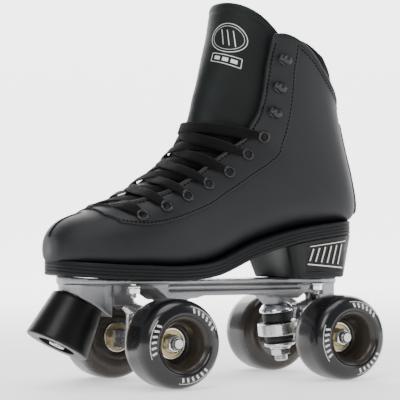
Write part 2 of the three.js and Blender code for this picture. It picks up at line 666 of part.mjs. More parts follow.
const HALF_RING = RING_HEIGHT / 2;
const UPPER_CUSHION_LOW = -HALF_RING - GAP;
const UPPER_CUSHION_TOP = UPPER_CUSHION_LOW - UPPER_CUSHION;
const RETAINER_LOW = UPPER_CUSHION_TOP - GAP;
const RETAINER_TOP = RETAINER_LOW - RETAINER_HEIGHT;
const BOSS_LOW = RETAINER_TOP - GAP;
const LOWER_CUSHION_TOP = HALF_RING + GAP;
const LOWER_CUSHION_LOW = LOWER_CUSHION_TOP + LOWER_CUSHION;
const LOWER_WASHER_TOP = LOWER_CUSHION_LOW + GAP;
const LOWER_WASHER_LOW = LOWER_WASHER_TOP + LOWER_WASHER_HEIGHT;
const KINGPIN_NUT_TOP = LOWER_WASHER_LOW + GAP;
const KINGPIN_HEAD = -(DECK_ABOVE_AXLE - RING_ABOVE_AXLE) / Math.cos(lean) + 6;

const STOP_AXIS = V(Math.sin(STOP_TILT * RAD), 0, -Math.cos(STOP_TILT * RAD));
const stopPoint = (s) => V(FRONT_AXLE_X + STOP_FORWARD, 0, DECK_Z - STOP_BELOW_DECK)
  .addScaledVector(STOP_AXIS, s);
const CUP_OUTER = PIVOT_BALL / 2 + GAP + CUP_WALL;
const CUP_END = PIVOT_BALL / 2 + 2 * GAP + CUP_FLOOR; // pivot to the cup's closed end
const PIVOT_BOSS_HALF = CUP_OUTER + GAP + 3;

const PLATE_REAR = -FRONT_AXLE_X - PLATE_REAR_OVERHANG;
const PLATE_NOSE = FRONT_AXLE_X + PLATE_NOSE_OVERHANG;
const SPRING_START = 62; // the plate's top is flat up to here and follows the sole beyond it

const deckTop = (x) => (x < SPRING_START ? DECK_Z : Math.max(DECK_Z, soleLow(x) - GAP));

function plateOutline() {
  const w = FLANGE_HALF_WIDTH;
  const f = PLATE_NOSE;
  const r = PLATE_REAR;
  const side = [[r, w - 16], [r + 1.2, w - 13], [r + 4.5, w - 9.5], [r + 12, w - 5], [r + 22, w - 3.6],
    [-30, w - 4.5], [10, w - 4.5], [FRONT_AXLE_X - 30, w - 1], [FRONT_AXLE_X - 12, w], [FRONT_AXLE_X + 20, w], [f - 26, w - 2],
    [f - 12, w - 5.5], [f - 4.5, w - 10], [f - 1.2, w - 15.5], [f, w - 21]];
  return side.concat(side.map(([x, y]) => [x, -y]).reverse());
}

function flange() {
  const xs = [PLATE_REAR - 1, SPRING_START - 1, SPRING_START, 70, 80, 90, 100, 110, 120, 130, PLATE_NOSE + 1]
    .filter((x, i, list) => i === 0 || (x > list[0] && x <= PLATE_NOSE + 1));
  const top = xs.map((x) => [x, deckTop(x)]);
  const noseUnder = Math.min(deckTop(PLATE_NOSE) - FLANGE_THICKNESS - 1.2, DECK_Z - 1);
  const under = [[PLATE_NOSE + 1, noseUnder],
    [PLATE_REAR - 1, DECK_Z - FLANGE_THICKNESS]];
  return slabXZ(top.concat(under), FLANGE_HALF_WIDTH + 2)
    .intersect(slabXY(plateOutline(), DECK_Z - 30, DECK_Z + 30));
}

function plate() {
  const under = DECK_Z - FLANGE_THICKNESS + 0.5;
  const rail = DECK_Z - RAIL_DEPTH;
  const parts = [flange()];
  // middle rail, swelling into the two kingpin bosses
  const k = FRONT_AXLE_X - KINGPIN_INBOARD;
  const half = [[k - 22, rail], [k - 16, rail - 1.5], [k + 6, rail - 3.5], [k + 12, rail + 0.5],
    [k + 17, rail + 5], [k + 25, under]];
  const side = half.map(([x, z]) => [-x, z]).reverse().concat(half);
  parts.push(slabXZ([[-(k + 25), under], [k + 25, under], ...side.slice(1, -1).reverse()], RAIL_HALF_WIDTH));
  for (const end of [-1, 1]) {
    const low = kingpin(end, BOSS_LOW);
    const high = kingpin(end, BOSS_LOW - 8);
    parts.push(rod(low, high, 9.6, 15, 24));
    parts.push(rod(high, kingpin(end, KINGPIN_HEAD - 2), 15, 15, 24));
    // pivot housing
    const p = pivot(end);
    const x0 = end * (FRONT_AXLE_X + PIVOT_OUTBOARD - 9);
    const reach = end > 0 ? FRONT_AXLE_X + PIVOT_OUTBOARD + 13 : -PLATE_REAR - 0.5;
    const lo = Math.min(x0, end * reach);
    const hi = Math.max(x0, end * reach);
    parts.push(box(lo, hi, -PIVOT_BOSS_HALF, PIVOT_BOSS_HALF, p.z - 3.6, DECK_Z - 1));
    if (end < 0) {
      parts.push(slabXY([[PLATE_REAR + 0.6, -9], [PLATE_REAR + 4.5, -14], [PLATE_REAR + 17, -16.5],
        [PLATE_REAR + 17, 16.5], [PLATE_REAR + 4.5, 14], [PLATE_REAR + 0.6, 9]], rail - 1, DECK_Z - 1));
    }
  }
  // nose block that carries the stop, cut square to the stop's axis
  const nx0 = FRONT_AXLE_X + PIVOT_OUTBOARD + 9;
  const nose = slabXY([[nx0, NOSE_HALF_WIDTH - 3], [nx0 + 8, NOSE_HALF_WIDTH], [PLATE_NOSE - 9, NOSE_HALF_WIDTH],
    [PLATE_NOSE - 2.5, NOSE_HALF_WIDTH - 5], [PLATE_NOSE - 0.6, 3], [PLATE_NOSE - 0.6, -3],
    [PLATE_NOSE - 2.5, 5 - NOSE_HALF_WIDTH], [PLATE_NOSE - 9, -NOSE_HALF_WIDTH],
    [nx0 + 8, -NOSE_HALF_WIDTH], [nx0, 3 - NOSE_HALF_WIDTH]], DECK_Z - 26, DECK_Z - 1.5);
  parts.push(cut(nose, [rod(stopPoint(-GAP), stopPoint(60), 60, 60, 24)]));
  const body = join(parts);
  const holes = [];
  for (const end of [-1, 1]) {
    holes.push(rod(kingpin(end, KINGPIN_HEAD - 0.4), kingpin(end, 40), KINGPIN_DIAMETER / 2 + GAP,
      KINGPIN_DIAMETER / 2 + GAP, 20));
    const a = steerAxis(end);
    const p = pivot(end);
    holes.push(rod(p.clone().addScaledVector(a, -40), p.clone().addScaledVector(a, CUP_END + GAP),
      CUP_OUTER + GAP, CUP_OUTER + GAP, 24));
  }
  for (const [x, y] of soleBolts()) {
    holes.push(rod(V(x, y, DECK_Z - 20), V(x, y, DECK_Z + 20), SOLE_BOLT_DIAMETER / 2 + GAP,
      SOLE_BOLT_DIAMETER / 2 + GAP, 14));
    holes.push(rod(V(x, y, DECK_Z - 24), V(x, y, DECK_Z - FLANGE_THICKNESS), SOLE_NUT_AF / 2 + 2.4,
      SOLE_NUT_AF / 2 + 2.4, 14));
  }
  holes.push(rod(stopPoint(-9.6), stopPoint(1), STOP_BOLT_DIAMETER / 2 + GAP, STOP_BOLT_DIAMETER / 2 + GAP, 16));
  // long recesses in the rail's sides and a pocket under it
  for (const s of [-1, 1]) {
    holes.push(box(-(k + 8), k + 8, s > 0 ? RAIL_HALF_WIDTH - 2.2 : -RAIL_HALF_WIDTH - 1,
      s > 0 ? RAIL_HALF_WIDTH + 1 : 2.2 - RAIL_HALF_WIDTH, rail + 3.6, DECK_Z - FLANGE_THICKNESS));
  }
  holes.push(box(-(k - 22), k - 22, -12, 12, rail - 5, DECK_Z - FLANGE_THICKNESS - 0.5));
  return cut(body, holes);
}

function soleBolts() {
  const list = [];
  for (const x of [-FRONT_AXLE_X - SOLE_BOLT_REAR, FRONT_AXLE_X + SOLE_BOLT_FRONT]) {
    for (const s of [1, -1]) list.push([x, s * SOLE_BOLT_SPREAD]);
  }
  return list;
}

const BOLT_REACH = 6; // bolt's grip inside the sole or heel
function soleBolt([x, y]) {
  const top = deckTop(x) + GAP + BOLT_REACH;
  const r = SOLE_BOLT_DIAMETER / 2;
  return rod(V(x, y, DECK_Z - FLANGE_THICKNESS - GAP - SOLE_NUT_HEIGHT - 3), V(x, y, top), r * 0.98, r, 12);
}

function soleNut([x, y]) {
  const top = DECK_Z - FLANGE_THICKNESS - GAP;
  const r = SOLE_NUT_AF / 2 / Math.cos(30 * RAD);
  const bore = SOLE_BOLT_DIAMETER / 2 + GAP;
  const body = join([rod(V(x, y, top - 1.1), V(x, y, top), r + 0.9, r + 0.9, 12),
    rod(V(x, y, top - SOLE_NUT_HEIGHT), V(x, y, top - 0.5), r, r, 6)]);
  return cut(body, [rod(V(x, y, top - 20), V(x, y, top + 5), bore, bore, 12)]);
}

function boltHoles(body) {
  const r = SOLE_BOLT_DIAMETER / 2 + GAP;
  return cut(body, soleBolts().map(([x, y]) => rod(V(x, y, DECK_Z - 2),
    V(x, y, deckTop(x) + GAP + BOLT_REACH + GAP), r, r, 12)));
}

// ---------------------------------------------------------------- toe stop
function toeStop() {
  const r1 = STOP_TOP_DIAMETER / 2;
  const r2 = STOP_BOTTOM_DIAMETER / 2;
  const rr = STOP_RECESS_DIAMETER / 2;
  const h = STOP_HEIGHT;
  const b = STOP_BOLT_DIAMETER / 2 + GAP;
  const profile = [[b, 0], [r1 - 1.6, 0], [r1, 1.8], [r2, h - 5], [r2 - 0.8, h - 1.8], [r2 - 3, h],
    [rr + 0.6, h], [rr - 0.4, h - STOP_RECESS_DEPTH], [b, h - STOP_RECESS_DEPTH]];
  return turned(stopPoint(0), stopPoint(1), profile, 24);
}

function toeStopWasher() {
  const b = STOP_BOLT_DIAMETER / 2 + GAP;
  const s = STOP_HEIGHT - STOP_RECESS_DEPTH + GAP;
  return turned(stopPoint(0), stopPoint(1), [[b, s], [10.5, s], [10.5, s + 1.2], [9.6, s + 1.8], [b, s + 1.8]], 12);
}

function toeStopBolt() {
  const r = STOP_BOLT_DIAMETER / 2;
  const s = STOP_HEIGHT - STOP_RECESS_DEPTH + GAP + 1.8 + GAP;
  const head = rod(stopPoint(s), stopPoint(s + 3.6), 6.4, 6.4, 6);
  return join([rod(stopPoint(-9), stopPoint(s + 1), r, r, 16), head]);
}

// ---------------------------------------------------------------- trucks
const SIDES = 16;
function kingpinBolt(end) {
  const r = KINGPIN_DIAMETER / 2;
  return rod(kingpin(end, KINGPIN_HEAD), kingpin(end, KINGPIN_TIP), r, r * 0.96, 20);
}

function stackRing(end, top, low, profile, sides = SIDES) {
  const bore = KINGPIN_DIAMETER / 2 + GAP;
  const pts = profile.map(([r, u]) => [r, lerp(0, low - top, u)]);
  return turned(kingpin(end, top), kingpin(end, low), [[bore, 0], ...pts, [bore, low - top]], sides);
}

const retainer = (end) => {
  const r = RETAINER_OD / 2;
  return stackRing(end, RETAINER_TOP, RETAINER_LOW, [[r - 2.4, 0], [r - 2, 0.3], [r, 0.36], [r, 0.94], [r - 0.6, 1]]);
};
const upperCushion = (end) => {
  const r = CUSHION_OD / 2;
  return stackRing(end, UPPER_CUSHION_TOP, UPPER_CUSHION_LOW, [[r - 0.7, 0], [r, 0.14], [r, 0.86], [r - 0.7, 1]]);
};
const lowerCushion = (end) => {
  const r = CUSHION_OD / 2;
  return stackRing(end, LOWER_CUSHION_TOP, LOWER_CUSHION_LOW, [[r, 0], [r + 0.6, 0.2], [r - 1.2, 1]]);
};
const lowerWasher = (end) => {
  const r = LOWER_WASHER_OD / 2;
  return stackRing(end, LOWER_WASHER_TOP, LOWER_WASHER_LOW, [[r, 0], [r, 0.4], [r - 2.4, 0.8], [r - 4, 1]]);
};

function kingpinNut(end) {
  const bore = KINGPIN_DIAMETER / 2 + GAP;
  const r = KINGPIN_NUT_AF / 2 / Math.cos(30 * RAD);
  const s = KINGPIN_NUT_TOP;
  const body = join([rod(kingpin(end, s), kingpin(end, s + KINGPIN_NUT_HEIGHT - 1.6), r, r, 6),
    rod(kingpin(end, s + 1), kingpin(end, s + KINGPIN_NUT_HEIGHT), r - 1.4, r - 2, 12)]);
  return cut(body, [rod(kingpin(end, s - 5), kingpin(end, s + 20), bore, bore, 12)]);
}

function pivotCup(end) {
  const a = steerAxis(end);
  const p = pivot(end);
  const at = (s) => p.clone().addScaledVector(a, s);
  const b = PIVOT_BALL / 2 + GAP;
  const long = CUP_END + CUP_DEPTH;
  return turned(at(-CUP_DEPTH), at(0), [[b, 0], [CUP_OUTER - 0.8, 0], [CUP_OUTER, 0.8], [CUP_OUTER, long],
    [0, long], [0, long - CUP_FLOOR], [b, long - CUP_FLOOR]], SIDES);
}

function hanger(end) {
  const b = BEAM_SIZE / 2;
  const y = WHEEL_INNER_FACE + BEARING_INSET - GAP;
  const parts = [];
  // axle beam, square with slim round ends that reach into the wheels
  parts.push(box(end * FRONT_AXLE_X - b, end * FRONT_AXLE_X + b, -(WHEEL_INNER_FACE - 1.2),
    WHEEL_INNER_FACE - 1.2, AXLE_Z - b, AXLE_Z + b));
  parts.push(rod(truckPoint(end, 0, -y, 0), truckPoint(end, 0, y, 0), 5.8, 5.8, 20));
  // kingpin ring
  parts.push(rod(kingpin(end, -HALF_RING), kingpin(end, HALF_RING), RING_OD / 2, RING_OD / 2, 24));
  // arms from the ring to the beam
  const arm = [[-KINGPIN_INBOARD + 10, 13], [0, 25], [b - 1, 25], [b - 1, -25], [0, -25], [-KINGPIN_INBOARD + 10, -13]];
  const loop = arm.map(([u, v]) => [end * (FRONT_AXLE_X + u), v]);
  const web = slabXY(end > 0 ? loop.reverse() : loop, AXLE_Z - 3.5, AXLE_Z + 6.5);
  parts.push(web);
  // pivot arm, from the beam up to the ball
  const a = steerAxis(end);
  const p = pivot(end);
  const at = (s) => p.clone().addScaledVector(a, s);
  parts.push(rod(at(-25), at(-8), 8.5, PIVOT_BALL / 2 + 0.2, 14));
  parts.push(rod(at(-8.5), at(1.6), PIVOT_BALL / 2 + 0.1, PIVOT_BALL / 2 - 0.3, 14));
  parts.push(rod(at(1.6), at(3.4), PIVOT_BALL / 2 - 0.3, 1.8, 14));
  const foot = truckPoint(end, 1, 0, 4);
  parts.push(rod(foot, at(-19), 9.5, 8.2, 14));
  let body = join(parts);
  const bore = RING_BORE / 2;
  const r = AXLE_DIAMETER / 2 + GAP;
  body = cut(body, [
    rod(kingpin(end, -40), kingpin(end, 40), bore, bore, 24),
    rod(truckPoint(end, 0, -90, 0), truckPoint(end, 0, 90, 0), r, r, 16),
    // room round the cushions
    rod(kingpin(end, HALF_RING), kingpin(end, HALF_RING + 22), RING_OD / 2 - 1.2, RING_OD / 2 - 1.2, 24),
    rod(kingpin(end, -HALF_RING - 26), kingpin(end, -HALF_RING), RING_OD / 2 - 1.2, RING_OD / 2 - 1.2, 24),
  ]);
  return body;
}

const axleEnd = WHEEL_INNER_FACE + BEARING_INSET + 2 * BEARING_WIDTH + HUB_LIP + 2 * GAP + GAP + NUT_HEIGHT;
function axle(end) {
  const y = axleEnd + AXLE_OVERHANG;
  return rod(truckPoint(end, 0, -y, 0), truckPoint(end, 0, y, 0), AXLE_DIAMETER / 2, AXLE_DIAMETER / 2, 16);
}

// ---------------------------------------------------------------- wheels; side is 1 on the left
function wheel(end, side) {
  const n = 24;
  const R = WHEEL_R / Math.cos(Math.PI / n);
  const W = WHEEL_WIDTH;
  const c = WHEEL_SHOULDER;
  const seat = BEARING_OD / 2 + GAP;
  const b0 = BEARING_INSET - GAP;
  const b1 = BEARING_INSET + BEARING_WIDTH + GAP;
  const b2 = b1 + HUB_LIP;
  const b3 = b2 + 2 * GAP + BEARING_WIDTH;
  const profile = [[seat, b0], [seat, b1], [9.4, b1], [9.4, b2], [seat, b2], [seat, b3], [13.2, b3 + 1],
    [14.2, W - 9], [17, W - 3], [21.5, W], [R - 4, W - 1.6], [R - 1.1, W - 5.4], [R, W - c],
    [R, c], [R - 1.1, 5.4], [R - 4, 1.6], [22, 0], [14.6, 1.4]];
  const y = side * WHEEL_INNER_FACE;
  return turned(truckPoint(end, 0, y, 0), truckPoint(end, 0, y + side, 0), profile, n, wheelTurn(n));
}

// turn that puts a flat of the tread on the ground
const wheelTurn = (n) => Math.PI / n;

function bearing(end, side, outerOne) {
  const start = BEARING_INSET + (outerOne ? BEARING_WIDTH + 2 * GAP + HUB_LIP : 0);
  const w = BEARING_WIDTH;
  const bore = BEARING_BORE / 2;
  const R = BEARING_OD / 2;
  const dish = outerOne ? [[R, 0], [R, w], [9.6, w], [9.2, w - 0.6], [6.2, w - 0.6], [5.8, w]]
    : [[5.8, 0], [6.2, 0.6], [9.2, 0.6], [9.6, 0], [R, 0], [R, w]];
  const profile = [[bore, 0], ...dish, [bore, w]];
  const y = side * (WHEEL_INNER_FACE + start);
  return turned(truckPoint(end, 0, y, 0), truckPoint(end, 0, y + side, 0), profile, 12);
}

function axleNut(end, side) {
  const y0 = side * (axleEnd - NUT_HEIGHT);
  const at = (d) => truckPoint(end, 0, y0 + side * d, 0);
  const r = NUT_AF / 2 / Math.cos(30 * RAD);
  const bore = AXLE_DIAMETER / 2 + GAP;
  const body = join([rod(at(0), at(NUT_HEIGHT - 2.4), r, r, 6),
    rod(at(1), at(NUT_HEIGHT), NUT_AF / 2 - 0.1, NUT_AF / 2 - 0.5, 12)]);
  return cut(body, [rod(at(-5), at(NUT_HEIGHT + 5), bore, bore, 12)]);
}

// ---------------------------------------------------------------- assembly
const skate = new THREE.Group();
const material = (color, roughness, metalness = 0) => new THREE.MeshStandardMaterial({ color, roughness, metalness });
const LEATHER = material(0x17181b, 0.55);
const TRIM = material(0x1b1c1e, 0.5);
const PAD = material(0x101011, 0.95);
const RUBBER = material(0x121212, 0.45);
const SOLE = material(0x242427, 0.6);
const CAST = material(0xb9bcbf, 0.35, 0.9);
const STEEL = material(0xc4c7ca, 0.25, 1);
const BRASSY = material(0xb8a468, 0.3, 0.9);
const URETHANE = material(0x1f1c1a, 0.3);

function add(name, shape, look) {
  const geometry = shape.isBufferGeometry ? toGeometry(toSolid(shape)) : toGeometry(shape);
  const mesh = new THREE.Mesh(geometry, look);
  mesh.name = name;
  skate.add(mesh);
}

add('boot_upper', bootUpper(), LEATHER);
add('tongue', tongue(), TRIM);
add('collar_padding', collarPadding(), PAD);
add('insole', insole(), PAD);
add('left_eyestay', eyestay(1), TRIM);
add('right_eyestay', eyestay(-1), TRIM);
add('backstay', backstay(), TRIM);
add('laces', laces(), PAD);
add('outsole', boltHoles(outsole()), SOLE);
add('heel_block', boltHoles(heelBlock()), SOLE);
add('plate', plate(), CAST);
add('toe_stop', toeStop(), RUBBER);
add('toe_stop_washer', toeStopWasher(), STEEL);
add('toe_stop_bolt', toeStopBolt(), STEEL);
['rear_left', 'rear_right', 'front_left', 'front_right'].forEach((place, k) => {
  add(`${place}_sole_bolt`, soleBolt(soleBolts()[k]), STEEL);
  add(`${place}_sole_nut`, soleNut(soleBolts()[k]), STEEL);
});
for (const [place, end] of [['front', 1], ['rear', -1]]) {
  add(`${place}_kingpin`, kingpinBolt(end), STEEL);
  add(`${place}_cushion_retainer`, retainer(end), STEEL);
  add(`${place}_upper_cushion`, upperCushion(end), RUBBER);
  add(`${place}_lower_cushion`, lowerCushion(end), RUBBER);
  add(`${place}_cushion_washer`, lowerWasher(end), STEEL);
  add(`${place}_kingpin_nut`, kingpinNut(end), STEEL);
  add(`${place}_pivot_cup`, pivotCup(end), RUBBER);
  add(`${place}_hanger`, hanger(end), CAST);
  add(`${place}_axle`, axle(end), STEEL);
  for (const [hand, side] of [['left', 1], ['right', -1]]) {
    add(`${place}_${hand}_wheel`, wheel(end, side), URETHANE);
    add(`${place}_${hand}_inner_bearing`, bearing(end, side, false), BRASSY);
    add(`${place}_${hand}_outer_bearing`, bearing(end, side, true), BRASSY);
    add(`${place}_${hand}_axle_nut`, axleNut(end, side), STEEL);
  }
}

// origin on the ground under the middle of the skate's bounding box
const bounds = new THREE.Box3().setFromObject(skate);
const centre = bounds.getCenter(V(0, 0, 0));
skate.position.set(-centre.x, -centre.y, -bounds.min.z);
skate.updateMatrixWorld(true);

export default skate;
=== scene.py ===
import math

import bmesh
import bpy
import numpy as np
from mathutils import Matrix, Vector


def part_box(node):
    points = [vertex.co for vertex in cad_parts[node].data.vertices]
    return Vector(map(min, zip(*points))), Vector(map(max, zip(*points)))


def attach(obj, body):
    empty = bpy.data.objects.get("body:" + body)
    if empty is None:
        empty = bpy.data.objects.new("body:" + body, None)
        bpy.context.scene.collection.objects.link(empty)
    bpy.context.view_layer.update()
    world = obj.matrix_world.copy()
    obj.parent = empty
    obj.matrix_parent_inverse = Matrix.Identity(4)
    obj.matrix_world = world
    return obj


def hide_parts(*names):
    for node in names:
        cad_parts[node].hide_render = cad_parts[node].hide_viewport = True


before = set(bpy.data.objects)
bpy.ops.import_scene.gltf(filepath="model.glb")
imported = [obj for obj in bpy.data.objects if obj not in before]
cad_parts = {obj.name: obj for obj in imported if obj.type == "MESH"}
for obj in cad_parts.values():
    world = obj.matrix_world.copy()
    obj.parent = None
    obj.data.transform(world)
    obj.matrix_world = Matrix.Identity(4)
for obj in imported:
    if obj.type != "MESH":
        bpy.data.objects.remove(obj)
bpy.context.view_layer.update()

# ---------------------------------------------------------------- camera, floor and light
# A pale floor that curves up into a backdrop and glows, as painted light, faintly round the skate and
# full white far off; large soft lights round a white room, and one camera at the height of the wheels'
# tops. The middle of the wheelbase is the datum of every size.
MM = 0.001
WHEELBASE = 141
HANDS = ((1, "left"), (-1, "right"))
ENDS = (("front", 1), ("rear", -1))
axle_low, axle_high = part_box("front_axle")
DATUM_X = (axle_low.x + axle_high.x) / 2 - WHEELBASE / 2 * MM


def at(x, y, z):
    """A point given in millimetres from the floor midway between the axles."""
    return Vector((x * MM + DATUM_X, y * MM, z * MM))


VIEW_SIDE = math.radians(30.33)
VIEW_RISE = math.radians(-1.38)
VIEW_DISTANCE = 1.13334
VIEW_AIM = at(19.74, 0, 131.45)
LENS = 139.03
view_line = Vector((math.sin(VIEW_SIDE) * math.cos(VIEW_RISE), math.cos(VIEW_SIDE) * math.cos(VIEW_RISE),
                    math.sin(VIEW_RISE)))
camera = bpy.data.objects.new("camera", bpy.data.cameras.new("camera"))
bpy.context.scene.collection.objects.link(camera)
camera.data.sensor_width = 36
camera.data.lens = LENS
camera.data.clip_start = 0.05
camera.data.clip_end = 50
camera.location = VIEW_AIM + view_line * VIEW_DISTANCE
camera.rotation_euler = view_line.to_track_quat("Z", "Y").to_euler()
bpy.context.scene.camera = camera


def area_light(name, place, aim, size, power, colour=(1, 1, 1)):
    lamp = bpy.data.objects.new(name, bpy.data.lights.new(name, "AREA"))
    lamp.data.shape = "RECTANGLE"
    lamp.data.size, lamp.data.size_y = size
    lamp.data.energy = power
    lamp.data.color = colour
    lamp.location = place
    lamp.rotation_euler = (Vector(place) - Vector(aim)).to_track_quat("Z", "Y").to_euler()
    bpy.context.scene.collection.objects.link(lamp)


area_light("key_light", (1.3, 1.0, 1.3), (0, 0, 0.12), (0.9, 1.2), 22)
area_light("side_light", (-1.3, 0.9, 0.7), (0, 0, 0.15), (0.7, 1.3), 9, (0.95, 0.97, 1))
area_light("top_light", (0.1, 0.1, 1.7), (0, 0, 0.1), (1.2, 1.2), 16)
area_light("rim_light", (-0.5, -1.4, 0.9), (0, 0, 0.15), (1.0, 1.0), 11)

room = bpy.data.worlds.new("white_room")
bpy.context.scene.world = room
room.use_nodes = True
room.node_tree.nodes["Background"].inputs["Color"].default_value = (0.95, 0.96, 1, 1)
room.node_tree.nodes["Background"].inputs["Strength"].default_value = 0.3

FLOOR_FRONT, FLOOR_BACK, SWEEP, WALL = 3.0, -2.2, 1.0, 3.0
side_on = [(FLOOR_FRONT, 0)] + [
    (FLOOR_BACK - SWEEP * math.sin(k / 12 * math.pi / 2), SWEEP * (1 - math.cos(k / 12 * math.pi / 2)))
    for k in range(13)] + [(FLOOR_BACK - SWEEP, WALL)]
turn_floor = Matrix.Rotation(-VIEW_SIDE, 3, "Z")
corners = [turn_floor @ Vector((x, y, z - 0.0002)) for y, z in side_on for x in (-4, 4)]
floor_mesh = bpy.data.meshes.new("floor")
floor_mesh.from_pydata([tuple(c) for c in corners], [],
                       [(2 * k, 2 * k + 1, 2 * k + 3, 2 * k + 2) for k in range(len(side_on) - 1)])
floor_mesh.polygons.foreach_set("use_smooth", [True] * len(floor_mesh.polygons))
floor = bpy.data.objects.new("floor", floor_mesh)
bpy.context.scene.collection.objects.link(floor)
floor_paint = bpy.data.materials.new("pale_floor")
floor_paint.use_nodes = True
floor_nodes, floor_links = floor_paint.node_tree.nodes, floor_paint.node_tree.links
floor_shader = floor_nodes["Principled BSDF"]
floor_reach = floor_nodes.new("ShaderNodeVectorMath")
floor_reach.operation = "LENGTH"
floor_fade = floor_nodes.new("ShaderNodeMapRange")
floor_glow = floor_nodes.new("ShaderNodeMix")
floor_glow.data_type = "RGBA"
# painted light: the floor's emission colour runs from GLOW_NEAR round the skate to GLOW_FAR towards the
# backdrop
GLOW_NEAR, GLOW_FAR = (0.24, 0.24, 0.24, 1), (1, 1, 1, 1)
for node, socket, value in (
        (floor_shader, "Base Color", (0.9, 0.9, 0.9, 1)), (floor_shader, "Roughness", 0.75),
        (floor_shader, "Specular IOR Level", 0.2), (floor_shader, "Emission Strength", 3.0),
        (floor_fade, "From Min", 0.3), (floor_fade, "From Max", 2.0),
        (floor_glow, 6, GLOW_NEAR), (floor_glow, 7, GLOW_FAR)):
    node.inputs[socket].default_value = value
floor_links.new(floor_nodes.new("ShaderNodeTexCoord").outputs["Object"], floor_reach.inputs[0])
floor_links.new(floor_reach.outputs["Value"], floor_fade.inputs["Value"])
floor_links.new(floor_fade.outputs["Result"], floor_glow.inputs[0])
floor_links.new(floor_glow.outputs[2], floor_shader.inputs["Emission Color"])
floor_mesh.materials.append(floor_paint)

# ---------------------------------------------------------------- boot upper
# The vamp and quarters: grained black leather over foam and lining, lasted in one piece round the foot
# and closed by a seam over the toe. This section also holds the materials' and the meshes' helpers.


def feed(socket, value):
    """Puts a plain value or a Flow into a node's input."""
    if isinstance(value, Flow):
        value.tree.links.new(value.socket, socket)
    else:
        socket.default_value = value


class Flow:
    """A value inside a material. Arithmetic on it adds the Math nodes."""

    def __init__(self, tree, socket):
        self.tree, self.socket = tree, socket

    def maths(self, operation, *others):
        node = self.tree.nodes.new("ShaderNodeMath")
        node.operation = operation
        for socket, value in zip(node.inputs, (self, *others)):
            feed(socket, value)
        return Flow(self.tree, node.outputs[0])

    def __add__(self, other): return self.maths("ADD", other)
    def __sub__(self, other): return self.maths("SUBTRACT", other)
    def __mul__(self, other): return self.maths("MULTIPLY", other)
    def least(self, other): return self.maths("MINIMUM", other)
    def wave(self): return self.maths("SINE")


class Finish:
    """A material with one Principled shader."""

    def __init__(self, name, slot):
        self.material = bpy.data.materials.new(name)
        self.material.use_nodes = True
        self.tree = self.material.node_tree
        self.slot = slot

    def node(self, kind, settings, sockets, out=0):
        node = self.tree.nodes.new(kind)
        for key, value in settings.items():
            setattr(node, key, value)
        for key, value in sockets.items():
            feed(node.inputs[key], value)
        return Flow(self.tree, node.outputs[out])

    def place(self):
        return self.node("ShaderNodeTexCoord", {}, {}, "Object")

    def grid(self):
        return self.node("ShaderNodeUVMap", {"uv_map": "fabric"}, {})

    def noise(self, scale, detail=3, rough=0.55):
        return self.node("ShaderNodeTexNoise", {}, {"Vector": self.place(), "Scale": scale, "Detail": detail,
                                                    "Roughness": rough})

    def cells(self, scale):
        """Distance to the nearest edge between cells."""
        return self.node("ShaderNodeTexVoronoi", {"feature": "DISTANCE_TO_EDGE"},
                         {"Vector": self.place(), "Scale": scale}, "Distance")

    def parts(self, vector):
        node = self.node("ShaderNodeSeparateXYZ", {}, {0: vector}).socket.node
        return [Flow(self.tree, node.outputs[k]) for k in range(3)]

    def blend(self, share, one, two):
        one, two = ((*c, 1) if isinstance(c, tuple) else c for c in (one, two))
        return self.node("ShaderNodeMix", {"data_type": "RGBA"}, {0: share, 6: one, 7: two}, 2)

    def bump(self, height, strength, distance):
        return self.node("ShaderNodeBump", {}, {"Height": height, "Strength": strength, "Distance": distance})

    def shade(self, **values):
        shader = self.tree.nodes["Principled BSDF"]
        for key, value in values.items():
            feed(shader.inputs[key.replace("_", " ")], value)
        return self


def leather(name, slot, dark, light, grain=1500, grain_depth=0.00012, roughness=(0.42, 0.58), gloss=0.28):
    """Pigmented leather: fine cells between creases, a little uneven in colour and gloss, with painted shade
    in the creases.
    """
    f = Finish(name, slot)
    cells = f.cells(grain)
    pores = f.noise(grain * 1.7, 2)
    broad = f.noise(22, 4)
    skin_height = cells.least(0.22) * 3 + pores * 0.35
    # the colour: broad random unevenness, and painted shade that darkens the creases at the cells' edges
    tone = f.blend(broad * 0.7 + cells.least(0.25) * 1.2, dark, light)
    rough = broad * (roughness[1] - roughness[0]) + roughness[0] + pores * 0.06
    return f.shade(Base_Color=tone, Roughness=rough, Specular_IOR_Level=gloss,
                   Normal=f.bump(skin_height, 0.45, grain_depth))


def worn(name, slot, dark, light, fine, rough, bump, broad=None, mix=None, **more):
    """A material made uneven by fine noise and, if given, broad noise. Rough is a base and what the fine
    and the broad noise add to it, bump a strength and a depth, and mix how much of each colours it."""
    f = Finish(name, slot)
    grain = f.noise(*fine)
    patches = f.noise(*broad) if broad else grain
    tone = grain * mix[0] + patches * mix[1] if mix else patches
    roughness = rough[0]
    for noise, gain in zip((grain, patches), rough[1:]):
        if gain:
            roughness = noise * gain + roughness
    return f.shade(Base_Color=f.blend(tone, dark, light), Roughness=roughness, Normal=f.bump(grain, *bump),
                   **more)


